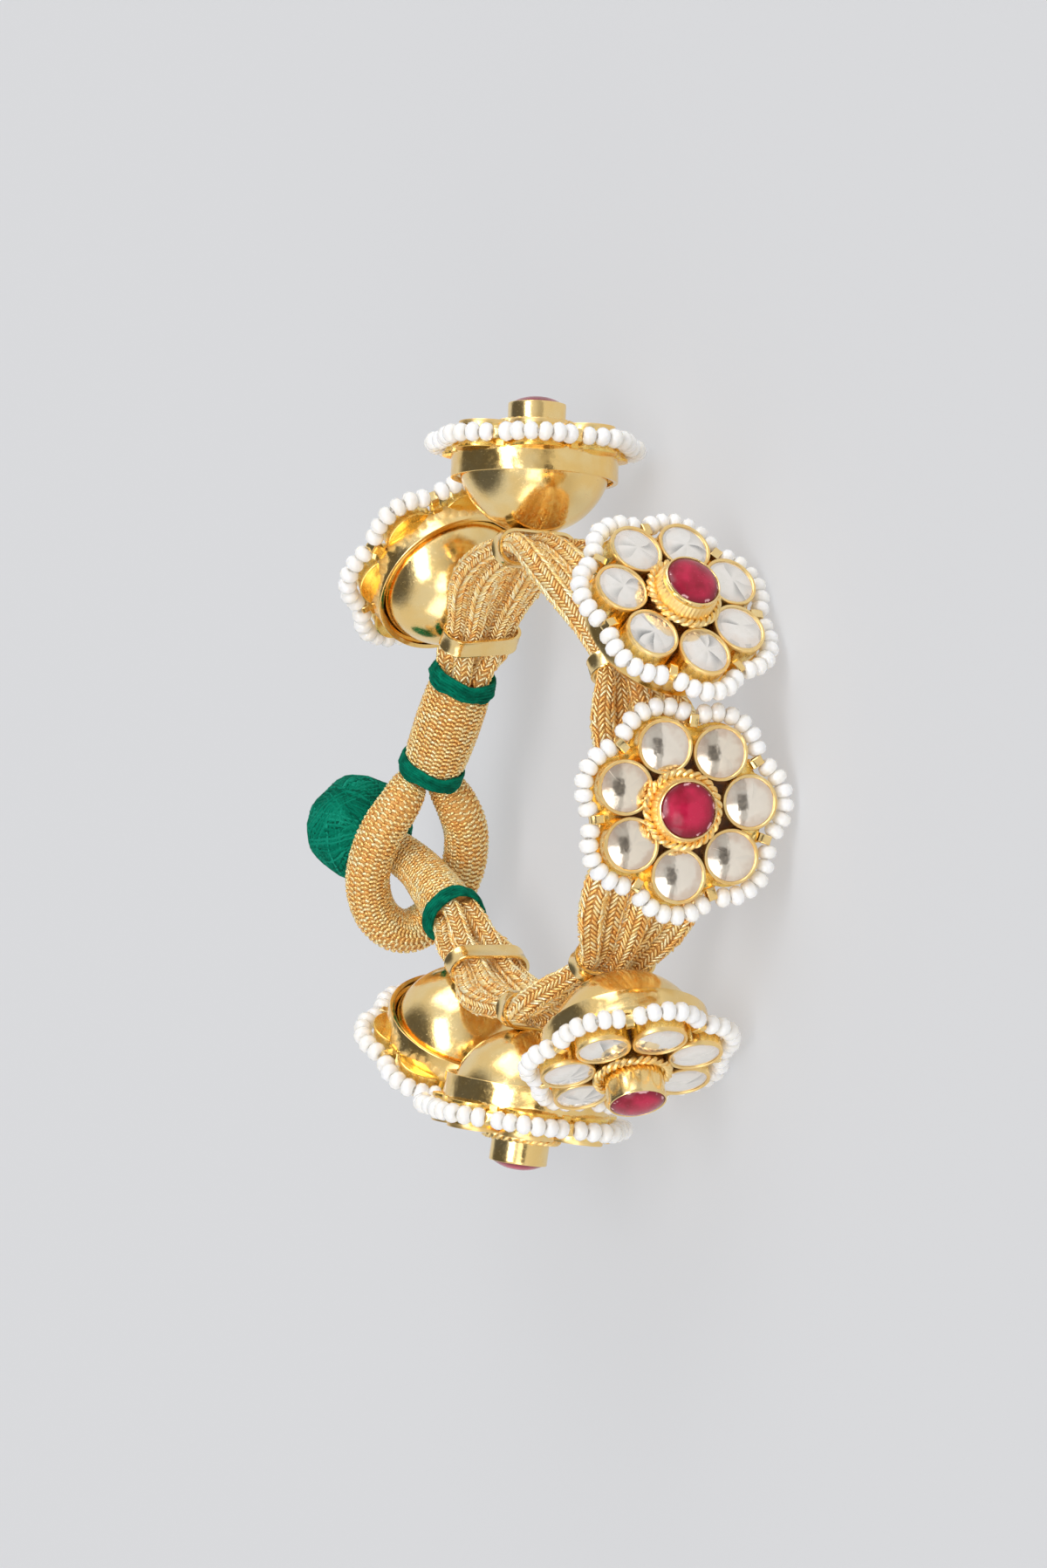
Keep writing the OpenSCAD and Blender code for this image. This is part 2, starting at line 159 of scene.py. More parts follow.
class Graph:
    """A node tree that is filled by one method."""

    def __init__(self, tree):
        self.tree = tree

    def node(self, kind, settings=None, inputs=None, output=0):
        made = self.tree.nodes.new(kind)
        for name, value in (settings or {}).items():
            if name == "stops":
                elements = made.color_ramp.elements
                while len(elements) < len(value):
                    elements.new(1.0)
                for element, (position, colour) in zip(elements, value):
                    element.position, element.color = position, (*colour, 1.0)
            else:
                setattr(made, name, value)
        for name, value in (inputs or {}).items():
            if isinstance(value, (list, tuple)) and isinstance(value[0], Signal):
                for signal in value:
                    self.tree.links.new(signal.socket, made.inputs[name])
            elif isinstance(value, Signal):
                self.tree.links.new(value.socket, made.inputs[name])
            else:
                made.inputs[name].default_value = value
        return Signal(self, made.outputs[output]) if made.outputs else None


print("helpers ready")

# %% [markdown]
# ### Words for common nodes
# Some nodes turn up in nearly every finish: noise, a colour ramp, a mix of two colours, a bump, and an ease, which is
# zero before its start, one after its end, and a soft step between them. Each gets a short word of its own, so that a
# material below reads like a recipe.

# %% Words for common nodes


def word(kind, *sockets, settings=None, output=0):
    """A short word for a node. It takes a signal and more values for these sockets in order, or others by name."""
    def spoken(first, *rest, **named):
        return first.graph.node(kind, settings, {**dict(zip(sockets, (first, *rest))), **named}, output)

    return spoken


noise = word("ShaderNodeTexNoise", "Vector", "Scale", "Detail", output="Fac")
bump = word("ShaderNodeBump", "Height", "Strength", "Distance")
ease = word("ShaderNodeMapRange", "Value", "From Min", "From Max", settings={"interpolation_type": "SMOOTHSTEP"})


def new_material(name):
    material = bpy.data.materials.new(name)
    material.use_nodes = True
    material.node_tree.nodes.clear()
    print("finish:", name)
    return material, Graph(material.node_tree)


def finish_material(graph, constants, varying):
    """The surface node, with its constant sockets and the ones that change over the surface."""
    surface = graph.node("ShaderNodeBsdfPrincipled", {}, {**constants, **varying})
    graph.node("ShaderNodeOutputMaterial", {}, {"Surface": surface})


def object_point(graph):
    return graph.node("ShaderNodeTexCoord", {}, {}, "Object")


def attribute(graph, name):
    return graph.node("ShaderNodeAttribute", {"attribute_name": name}, {}, "Fac")


def ramp(signal, *stops):
    return signal.graph.node("ShaderNodeValToRGB", {"stops": stops}, {"Fac": signal}, "Color")


def mix(factor, first, second):
    """The first colour where the factor is zero, the second where it is one."""
    first, second = (c if isinstance(c, Signal) else (*c, 1) for c in (first, second))
    return factor.graph.node("ShaderNodeMix", {"data_type": "RGBA"}, {"Factor": factor, 6: first, 7: second}, 2)


def join_xyz(graph, **numbers):
    return graph.node("ShaderNodeCombineXYZ", {}, numbers)


def split_xyz(vector):
    x = vector.graph.node("ShaderNodeSeparateXYZ", {}, {0: vector}, "X")
    return x, x.out("Y"), x.out("Z")


print("words ready")

# %% [markdown]
# ## Floor and light
# Polished gold has little colour of its own to show: it shows the room. The room is a pale floor and a sky that is
# dimmer in front and overhead, with four soft bright windows in it. The floor glows faintly, which keeps the shadows
# on it pale. A dark mottled panel stands behind the camera. Foil and gold mirror it, and its patches make the grey
# and brown streaks without which they would look like plastic. The floor lies a hair above zero, where the lowest
# beads end.

# %% Floor and dark panel
FLOOR_HALF = 3.0
FLOOR_LIFT = 0.00018
PANEL_X, PANEL_FROM, PANEL_TO, PANEL_TALL = 2.6, -0.95, 0.32, 0.72


def flat_sheet(name, corners, material):
    mesh = bpy.data.meshes.new(name)
    mesh.from_pydata(corners, [], [(0, 1, 2, 3)])
    mesh.materials.append(material)
    return add_object(name, mesh)


floor_finish, graph = new_material("floor_finish")
finish_material(graph, {"Base Color": (0.25, 0.251, 0.254, 1), "Roughness": 0.7, "Specular IOR Level": 0.2,
                        "Emission Color": (0.99, 1.0, 1.02, 1), "Emission Strength": 0.44}, {})
floor = flat_sheet("floor", [(x * FLOOR_HALF, y * FLOOR_HALF, FLOOR_LIFT)
                             for x, y in ((-1, -1), (1, -1), (1, 1), (-1, 1))], floor_finish)

panel_finish, graph = new_material("panel_finish")
mottle = noise(object_point(graph), 5.0, 3.0)
dim = ramp(mottle, (0.42, (0.03, 0.028, 0.026)), (0.6, (0.42, 0.39, 0.36)))
finish_material(graph, {"Roughness": 0.9}, {"Base Color": dim})
panel = flat_sheet("dark_panel", [
    (PANEL_X, y, z) for y, z in ((PANEL_FROM, 0), (PANEL_TO, 0), (PANEL_TO, PANEL_TALL), (PANEL_FROM, PANEL_TALL))],
    panel_finish)
print("floor is", 2 * FLOOR_HALF, "m wide, the panel", PANEL_TO - PANEL_FROM, "m")

# %% Sky
SKY_LEVEL, FRONT_DIM, TOP_DIM, SKY_STRENGTH, SKY_BLUE = 0.88, 0.30, 0.74, 0.80, 1.02
# a window's direction, half its width and half its height at a distance of one, and its strength
WINDOWS = [((0.50, 0.10, 0.86), 0.40, 0.16, 7.0), ((0.25, 0.90, 0.45), 0.36, 0.24, 3.0),
           ((0.35, -0.90, 0.30), 0.32, 0.20, 1.8), ((0.80, -0.42, 0.36), 0.26, 0.20, 2.6)]
world = bpy.data.worlds.new("studio")
bpy.context.scene.world = world
world.use_nodes = True
world.node_tree.nodes.clear()
sky = Graph(world.node_tree)
direction = sky.node("ShaderNodeTexCoord", {}, {}, "Generated")
x, _, z = split_xyz(direction)


def toward(way):
    return direction.vector("DOT_PRODUCT", tuple(way), output="Value")


def window(aim, half_wide, half_tall, strength):
    """A soft-edged bright window in the sky. It is upright, and lies in the direction aim."""
    aim = Vector(aim).normalized()
    wide = aim.cross(Vector((0, 0, 1))).normalized()
    ahead = toward(aim)
    u = (toward(wide) / ahead).math("ABSOLUTE")
    v = (toward(wide.cross(aim)) / ahead).math("ABSOLUTE")
    inside = (1 - ease(u, 0.75 * half_wide, 1.25 * half_wide)) * (1 - ease(v, 0.6 * half_tall, 1.4 * half_tall))
    return inside * ahead.math("GREATER_THAN", 0.0) * strength


front = ease(x, 0.45, 0.85) * (1 - ease(z, 0.22, 0.62))
top = ease(z * 0.93 - x * 0.36, 0.68, 0.88)
brightness = SKY_LEVEL - FRONT_DIM * front - TOP_DIM * top
for one in WINDOWS:
    brightness = brightness + window(*one)
tone = sky.node("ShaderNodeCombineColor", {}, {0: brightness, 1: brightness, 2: brightness * SKY_BLUE})
background = sky.node("ShaderNodeBackground", {}, {"Color": tone, "Strength": SKY_STRENGTH})
sky.node("ShaderNodeOutputWorld", {}, {"Surface": background})
bpy.context.scene.view_settings.view_transform = "Standard"
print("the sky has", len(world.node_tree.nodes), "nodes")

# %% [markdown]
# ## Meshes
# Nearly all goldsmith's parts are turned, bent from strip or cut from sheet. A turned part is a profile swung round
# an axis, and a strip is a profile carried along an outline. Both are a row of rings, so one method joins and closes
# such rows.

# %% Rings to mesh


class Shape:
    """Collects closed shells in millimetres, and becomes one mesh in its place."""

    def __init__(self):
        self.points, self.faces, self.marks = [], [], []

    def add(self, points, faces, mark=0):
        start = len(self.points)
        self.points.extend(map(tuple, points))
        self.faces.extend(tuple(start + i for i in face) for face in faces)
        self.marks.extend([mark] * len(faces))

    def rings(self, rings, closed=False, mark=0):
        """Joins equally long rings. An open row of rings gets a face at both ends."""
        count, size = len(rings), len(rings[0])
        faces = []
        for i in range(count if closed else count - 1):
            a, b = i * size, (i + 1) % count * size
            for j in range(size):
                k = (j + 1) % size
                faces.append((a + j, a + k, b + k, b + j))
        if not closed:
            faces.append(tuple(range(size - 1, -1, -1)))
            faces.append(tuple((count - 1) * size + j for j in range(size)))
        self.add([p for ring in rings for p in ring], faces, mark)

    def lathe(self, profile, segments, at=(0, 0, 0), closed=True, wobble=None, mark=0):
        """Swings (radius, height) pairs round Z. wobble gives an extra radius and height for an angle and a pair."""
        rings = []
        for index, (radius, height) in enumerate(profile):
            ring = []
            for j in range(segments):
                angle = 2 * math.pi * j / segments
                more_r, more_z = wobble(angle, index) if wobble else (0, 0)
                r, z = radius + more_r, height + more_z
                ring.append((at[0] + r * math.cos(angle), at[1] + r * math.sin(angle), at[2] + z))
            rings.append(ring)
        self.rings(rings, closed, mark)

    def mesh(self, name, place, materials, sharp_degrees):
        """One smooth mesh in metres. Edges sharper than the angle stay crisp."""
        made = bpy.data.meshes.new(name)
        made.from_pydata(self.points, [], self.faces)
        made.transform(place)
        made.transform(Matrix.Scale(MM, 4))
        for material in materials:
            made.materials.append(material)
        made.polygons.foreach_set("material_index", self.marks)
        made.polygons.foreach_set("use_smooth", [True] * len(made.polygons))
        made.set_sharp_from_angle(angle=math.radians(sharp_degrees))
        made.update()
        return made


def polar(radius, degrees):
    angle = math.radians(degrees)
    return radius * math.cos(angle), radius * math.sin(angle)


def arc(middle, radius, start, end, steps):
    """Points of a round corner in a profile, angles in degrees."""
    corner = (polar(radius, start + (end - start) * i / steps) for i in range(steps + 1))
    return [(middle[0] + x, middle[1] + y) for x, y in corner]


pieces = []


def triangles(mesh):
    return sum(len(polygon.vertices) - 2 for polygon in mesh.polygons)


def place_piece(mesh, slot, *nodes):
    """Puts a finished mesh into the scene under its own name, on the body, in place of its CAD nodes."""
    piece = add_object(mesh.name, mesh)
    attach(piece, "root")
    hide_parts(*nodes)
    pieces.append(piece)
    print("placed", piece.name, "with", triangles(mesh), "triangles")


print("shape helpers ready")

# %% [markdown]
# ## Gold
# The sheet is brass with a gold plate, and each way of working it leaves its own finish. The ruby's lip, the thread
# eyes, the crimps and the dome on the wrist side are polished. The walls of the boxes are thin pressed foil. Lips,
# milled collars and twisted wire are rubbed to a satin. The back plate is orange foil, and the bent band round the cup
# is rolled sheet with slow dents. By hand none of them is even, so noise in object coordinates bends the normal for
# the dents, and finer noise and stretched hair scratches drive the roughness. Under the ruby's box lies a dark brown
# disc, which paints shade into the gaps between the petals.

# %% Gold finishes and a disc of painted shade


def gold_material(name, pale, deep, rough, dents):
    material, graph = new_material(name)
    at = object_point(graph)
    slow, fine = noise(at, 260.0, 2.0), noise(at, 2600.0, 3.0)
    stretched = graph.node("ShaderNodeMapping", {}, {"Vector": at, "Scale": (300.0, 5000.0, 5000.0)})
    scratch = noise(stretched, 1.0, 1.0)
    rough = rough + 0.10 * ease(fine, 0.45, 0.75) + 0.08 * ease(scratch, 0.55, 0.70)
    finish_material(graph, {"Metallic": 1.0}, {
        "Base Color": mix(ease(slow, 0.35, 0.65), pale, deep), "Roughness": rough,
        "Normal": bump(slow * dents + fine * 0.02, 0.5, MM)})
    return material


gold = gold_material("polished_gold", (1.0, 0.77, 0.37), (1.0, 0.70, 0.27), 0.14, 0.10)
gold_foil = gold_material("pressed_gold_foil", (1.0, 0.77, 0.30), (1.0, 0.64, 0.16), 0.22, 0.22)
gold_satin = gold_material("satin_gold_wire", (1.0, 0.75, 0.34), (1.0, 0.68, 0.26), 0.34, 0.10)
gold_plate = gold_material("orange_gold_foil", (1.0, 0.73, 0.23), (1.0, 0.57, 0.10), 0.20, 0.30)
gold_band = gold_material("rolled_gold_band", (1.0, 0.75, 0.34), (0.98, 0.66, 0.23), 0.13, 0.45)

# a dark brown disc under the ruby's box: painted shade for the gaps between the petals
shade_disc, graph = new_material("dark_painted_shade_disc")
grain = noise(object_point(graph), 1500.0, 2.0)
brown = ramp(grain, (0.35, (0.06, 0.018, 0.005)), (0.7, (0.20, 0.08, 0.02)))
finish_material(graph, {}, {"Base Color": brown, "Roughness": 0.35 + 0.3 * grain})
METALS = (gold, gold_foil, shade_disc, gold_band, gold_plate, gold_satin)
POLISHED, PRESSED, SHADE_DISC, BAND, PLATE, SATIN = range(len(METALS))

# %% [markdown]
# ## Flower metal
# Each head is built up from a turned cup, a scalloped plate, seven little round boxes for the stones, a taller one
# for the ruby with a twisted wire round its foot, seven square eyes for the bead thread, and the crimp that holds the
# cords. All of it is soldered, so it becomes one piece. A flower is drawn with its face up, and its petals' tops are
# at height zero.

# %% Sizes of a flower
PETAL_CIRCLE = 8.12
BEZEL_R, SEAT_R, LIP_R = 3.48, 3.28, 3.06
RIM_R = 10.5
LOBE_R, PLATE_NOTCH = 3.78, 10.1
DOME_DEPTH, DOME_BALL_R, DOME_EDGE = 13.13, 9.66, -5.6
THREAD_DEPTH, THREAD_NOTCH = 1.85, 10.9
CRIMP_DEPTH = 15.18
ROPE_R, ROPE_UP = 4.5, 0.55
FOOT = -3.05


def petal_middle(spin, k):
    return (*polar(PETAL_CIRCLE, spin + k * PETAL_TURN), 0)


def hand_wave(angle, phases, first, step):
    """An uneven wave round a circle, from -1 to 1, as handwork leaves it."""
    return sum(math.sin((first + step * n) * angle + phase) for n, phase in enumerate(phases)) / len(phases)


print("a flower's metal is", 2 * (PETAL_CIRCLE + BEZEL_R), "mm across its petals")

# %% [markdown]
# ### Cup and back plate
# The wrist side of a head is a dome that goes up inside a bent band, and a scalloped plate closes the cup. Dome and
# band are turned profiles. The plate's outline is a row of lobes round the petals, cut off at the notches, so it is
# worked out point by point and given a thickness.

# %% Cup and back plate
ROUND = 112
PLATE_STEPS = 7 * 32


def cup(shape):
    """The dome goes up inside a bent band. The band is a little dented, so it is a shell with its own finish."""
    ball_z = DOME_BALL_R - DOME_DEPTH
    start = math.degrees(math.asin((DOME_EDGE - ball_z) / DOME_BALL_R))
    dome = arc((0, ball_z), DOME_BALL_R, -89.6, start, 24) + [(9.5, -5.0), (9.5, -3.2)]
    shape.lathe(dome[::-1], ROUND, closed=False, mark=POLISHED)
    band = [(9.6, -3.15), (9.6, -5.6), (9.9, -5.9), (9.9, -6.32)] + arc((RIM_R - 0.12, -6.28), 0.12, -90, 0, 3)
    band += [(RIM_R, -5.6), (RIM_R - 0.02, -4.8), (RIM_R, -4.0)] + arc((RIM_R - 0.1, -3.25), 0.1, 0, 90, 2)
    dents = [0.014 * math.sin(1 + 2.7 * i) for i in range(5)]

    def dented(angle, index):
        return (sum(d * math.sin((k + 2) * angle + k) for k, d in enumerate(dents)) if index > 2 else 0), 0

    shape.lathe(band, ROUND, wobble=dented, mark=BAND)


def scalloped_plate(shape, spin):
    outline = []
    for j in range(PLATE_STEPS):
        angle = 360 * j / PLATE_STEPS
        off = math.radians((angle + PETAL_TURN / 2) % PETAL_TURN - PETAL_TURN / 2)
        lobe = PETAL_CIRCLE * math.cos(off) + math.sqrt(LOBE_R ** 2 - (PETAL_CIRCLE * math.sin(off)) ** 2)
        outline.append((angle + spin, max(lobe, PLATE_NOTCH)))
    shape.rings([[(*polar(r - shrink, a), height) for a, r in outline]
                 for shrink, height in ((0.10, -3.45), (0.0, -3.38), (0.0, -3.08), (0.10, -3.0))], mark=PLATE)


print("the plate's outline has", PLATE_STEPS, "steps")

# %% [markdown]
# ### Boxes for the stones
# Each stone sits in a small round box of strip, whose lip is pressed over the stone's edge. A profile turned round the
# box's own middle makes one, and small waves keep the lips from looking machine-made.

# %% Boxes for the stones
FLUTES, COLLAR_RIBS = 30, 44
# each ruby's box is set one by one: how far it sits off the middle, across the band, and how much taller it is
MIDDLES = [(0.0, 0.0), (0.0, 0.0), (0.0, 0.0), (0.65, 0.0), (0.0, 1.0), (0.0, 0.5), (0.0, 0.0)]


def bezel(shape, spin, k, random):
    """A petal's round box. Its wall is fluted, and its lip is pressed over the stone by hand."""
    at = petal_middle(spin, k)
    wall = [(SEAT_R, -1.15), (SEAT_R, -0.45), (BEZEL_R - 0.04, -0.45), (BEZEL_R, -1.4), (BEZEL_R, FOOT)]
    lip = [(SEAT_R - 0.01, -0.5), (LIP_R, -0.20), (LIP_R + 0.01, -0.05), (LIP_R + 0.12, 0.04),
           (BEZEL_R - 0.08, 0.04), (BEZEL_R - 0.01, -0.10), (BEZEL_R - 0.02, -0.5)]
    phases = random.uniform(0, 2 * math.pi, 3)

    def fluted(angle, index):
        return (0.03 * math.sin(FLUTES * angle) - 0.03 if index > 2 else 0), 0

    def pressed(angle, index):
        push = hand_wave(angle, phases, 7, 4)
        return (-0.05 * abs(push), 0.03 * push) if 1 <= index <= 3 else (0, 0)

    shape.lathe(wall, 60, at=at, wobble=fluted, mark=PRESSED)
    shape.lathe(lip, 60, at=at, wobble=pressed, mark=SATIN)


def middle_box(shape, milled, aside, taller):
    """The ruby's box. On the two flowers that face the camera its foot is a milled collar."""
    at = (0, aside, 0)

    def ribbed(angle, index):
        return (0.035 * math.sin(COLLAR_RIBS * angle) if 2 <= index <= 4 else 0), 0

    if milled:
        collar = [(4.2, -3.0), (4.2, 0.6), (4.12, 1.0), (3.95, 1.9), (3.84, 2.5), (3.80, 2.62)]
        shape.lathe(collar, COLLAR_RIBS * 6, at=at, closed=False, wobble=ribbed, mark=SATIN)
    lip = [(3.42, 2.0), (3.42, 3.1), (3.40, 3.24)] + arc((3.53, 3.22), 0.12, 150, 0, 4) + [(3.66, 3.0), (3.65, 1.8)]
    lip = [(r, z + taller) for r, z in lip] + [(3.66, 0.4), (3.70, -3.0), (3.42, -3.0)]
    shape.lathe(lip, 72, at=at, mark=POLISHED)
    # a dark brown disc under the box, painted shade in the gaps between the petals
    shape.lathe([(0.001, -3.02), (0.001, -1.7), (7.9, -1.7), (8.0, -3.02)], 56, mark=SHADE_DISC)
    for top, r, foot_r, segments in ((2.02 + taller, 3.5, 3.5, 48), (0.28, ROPE_R, ROPE_R + 0.02, 64)):
        shape.lathe([(0.001, FOOT), (0.001, top), (r, top), (foot_r, FOOT)], segments, at=at, mark=PRESSED)


print("the tallest ruby's box is", max(taller for aside, taller in MIDDLES), "mm taller than the others")

# %% [markdown]
# ### Thread eyes and crimp
# The thread of the beads runs through square eyes in the notches, and a flat tube at the back holds the cords. Both
# are rows of rings: the outline stays, and its size changes along the way.

# %% Thread eyes and crimp
EYE_STEPS = 24


def thread_eye(shape, spin, k):
    """A folded square eye in the notch between two petals, with the thread's hole through it."""
    turned = turn("Z", spin + (k + 0.5) * PETAL_TURN)
    outer, inner = [], []
    for j in range(EYE_STEPS):
        c, s = polar(1, 360 * j / EYE_STEPS)
        square = 0.9 / (abs(c) ** 5 + abs(s) ** 5) ** 0.2
        outer.append((square * c, square * s))
        inner.append((0.45 * c, 0.45 * s))
    stations = ((inner, -0.5, 1), (outer, -0.55, 0.93), (outer, -0.46, 1.0), (outer, 0.0, 0.97),
                (outer, 0.46, 1.0), (outer, 0.55, 0.93), (inner, 0.5, 1))
    shape.rings([[turned @ Vector((THREAD_NOTCH + grow * x, along, grow * y - THREAD_DEPTH)) for x, y in line]
                 for line, along, grow in stations], closed=True, mark=POLISHED)
    rows = ((9.0, 1.5, -2.98), (9.6, 1.1, -2.95), (10.2, 0.8, -2.8), (10.8, 0.5, -2.55))
    shape.rings([[turned @ Vector((x, side * wide, z)) for side, z in
                  ((-1, -3.42), (-1, top - 0.07), (-0.9, top), (0.9, top), (1, top - 0.07), (1, -3.42))]
                 for x, wide, top in rows], mark=PRESSED)


def oval(w, t, steps):
    """Outline of a flat bar with round edges."""
    half = (w - t) / 2
    return arc((half, 0), t / 2, -90, 90, steps) + arc((-half, 0), t / 2, 90, 270, steps)


def crimp(shape, slide):
    """A flat tube round the cords, with a bead rolled at each of its mouths."""
    mouth = [(1.22, 0.55), (1.18, 0.80), (1.05, 0.86), (0.92, 0.74)]
    stations = ([(-1.2, 0.0)] + [(-x, grow) for x, grow in mouth] + [(0.0, 0.80)] + mouth[::-1] + [(1.2, 0.0)])
    shape.rings([[(slide + x, across, out - CRIMP_DEPTH) for across, out in oval(10.1 + grow, 3.9 + grow, 14)]
                 for x, grow in stations], closed=True, mark=POLISHED)


print("thread eyes are", 2 * THREAD_NOTCH, "mm apart across a flower")

# %% [markdown]
# ### Twisted wire
# Two thin wires are twisted like a rope and bent to a ring. That is a path with a rule: each wire runs round the
# ring's own circle in a helix. A small geometry tree draws both from a plain circle. The words for geometry nodes come
# first, because every later tree uses them too.

# %% Words for geometry nodes
SOCKETS = {float: "NodeSocketFloat", int: "NodeSocketInt", type(None): "NodeSocketMaterial"}
sweep = word("GeometryNodeCurveToMesh", "Curve", "Profile Curve", "Fill Caps", "Scale")
shifted = word("GeometryNodeSetPosition", "Geometry")
smoothed = word("GeometryNodeSetShadeSmooth", "Geometry")
covered = word("GeometryNodeSetMaterial", "Geometry", "Material")
hand_over = word("NodeGroupOutput", "Geometry")


def new_tree(name, inputs):
    """An empty geometry tree with named inputs. An input whose default is None takes a material."""
    tree = bpy.data.node_groups.new(name, "GeometryNodeTree")
    for in_out in ("INPUT", "OUTPUT"):
        tree.interface.new_socket(name="Geometry", in_out=in_out, socket_type="NodeSocketGeometry")
    for label, default in inputs.items():
        socket = tree.interface.new_socket(name=label, in_out="INPUT", socket_type=SOCKETS[type(default)])
        if default is not None:
            socket.default_value = default
    graph = Graph(tree)
    return tree, graph, graph.node("NodeGroupInput").out


def circle(graph, resolution, radius):
    return graph.node("GeometryNodeCurvePrimitiveCircle", {}, {"Resolution": resolution, "Radius": radius})


def made_real(*parts):
    """Joins the parts and turns instances into real faces."""
    graph = parts[0].graph
    joined = graph.node("GeometryNodeJoinGeometry", {}, {"Geometry": parts})
    return graph.node("GeometryNodeRealizeInstances", {}, {"Geometry": joined})


def run_tree(name, tree, values, start=None):
    """Runs a tree on a curve, or on nothing, and returns the result as a plain mesh."""
    holder = add_object(name + "_start", start or bpy.data.meshes.new("empty"))
    modifier = holder.modifiers.new("tree", "NODES")
    modifier.node_group = tree
    for item in tree.interface.items_tree:
        if item.in_out == "INPUT" and item.name in values:
            modifier[item.identifier] = values[item.name]
    made = bpy.data.meshes.new_from_object(holder.evaluated_get(bpy.context.evaluated_depsgraph_get()))
    holder.modifiers.clear()
    bpy.data.objects.remove(holder)
    made.name = name
    return made


print("geometry words ready")

# %% Twisted wire as a geometry tree
ROPE_STEPS = 220
rope_tree, graph, given = new_tree("twisted_wire", {
    "Ring Radius": 0.0045, "Wire Radius": 0.00032, "Swing": 0.00027, "Turns": 15.0, "Metal": None})
strands = []
ring = circle(graph, ROPE_STEPS, given("Ring Radius"))
share = graph.node("GeometryNodeInputIndex") / ROPE_STEPS
for phase in (0.0, math.pi):
    angle = share * given("Turns") * (2 * math.pi) + phase
    here = graph.node("GeometryNodeInputPosition")
    outward = here.vector("NORMALIZE").scale(angle.math("COSINE") * given("Swing"))
    upward = join_xyz(graph, Z=angle.math("SINE") * given("Swing"))
    helix = shifted(ring, Offset=outward.vector("ADD", upward))
    strands.append(sweep(helix, circle(graph, 6, given("Wire Radius"))))
hand_over(covered(smoothed(made_real(*strands)), given("Metal")))

rope = run_tree("rope", rope_tree, {"Metal": gold_foil})
rope_points = [tuple(v.co / MM + Vector((0, 0, ROPE_UP))) for v in rope.vertices]
rope_faces = [tuple(p.vertices) for p in rope.polygons]
print("twisted wire:", triangles(rope), "triangles, reach", round(max(v.co.x for v in rope.vertices) / MM, 2), "mm")

# %% [markdown]
# ### Soldering a head together
# All parts of a head go into one mesh, each with the number of its finish. The ruby's box and the wire round its foot
# share one middle.

# %% Flower metal
MILLED = (2, 3)
for i, flower in enumerate(FLOWERS):
    random = np.random.default_rng(100 + i)
    spin = flower[SPIN]
    shape = Shape()
    cup(shape)
    scalloped_plate(shape, spin)
    middle_box(shape, i in MILLED, *MIDDLES[i])
    shape.add([(x, y + MIDDLES[i][0], z) for x, y, z in rope_points], rope_faces, SATIN)
    crimp(shape, flower[SLIDE])
    for k in range(PETALS):
        bezel(shape, spin, k, random)
        thread_eye(shape, spin, k)
    metal = shape.mesh(f"flower_metal_{i + 1}", PLACES[i], METALS, 35)
    place_piece(metal, "gold_metal", f"flower_setting_{i + 1}")

# %% [markdown]
# ## Foil-backed stones
# Kundan stones are clear glass with silver foil pressed behind them. The foil shows as a bright mirror with soft
# folds, and the glass adds a second, smooth gloss. A metal surface with a clear coat does both: the folds bend only
# the metal's normal, and the coat keeps the smooth normal of the mesh. Each stone carries its own place map, a random
# number that turns and seeds its folds, how creased its foil is, and how warm its tone is.

# %% Foil under glass
STONE_R = SEAT_R - 0.05
SECTOR = 2 * math.pi / 7
# brown towards the rim, and the painted shadow of the box's lip at the very edge
RIM_BROWN, LIP_SHADOW_BROWN = (0.74, 0.53, 0.38), (0.20, 0.13, 0.06)
# painted shade on the grey side of hard folds, and a painted grey reflection on the rim's facets
FOLD_SHADE_GREY, RIM_REFLECTION_GREY = (0.30, 0.30, 0.285), (0.46, 0.45, 0.41)


def dice(*numbers):
    """A random number for each cell of a pattern, the same on every run."""
    where = join_xyz(numbers[0].graph, **dict(zip("XYZ", numbers)))
    return where.graph.node("ShaderNodeTexWhiteNoise", {"noise_dimensions": "3D"}, {"Vector": where}, "Value")


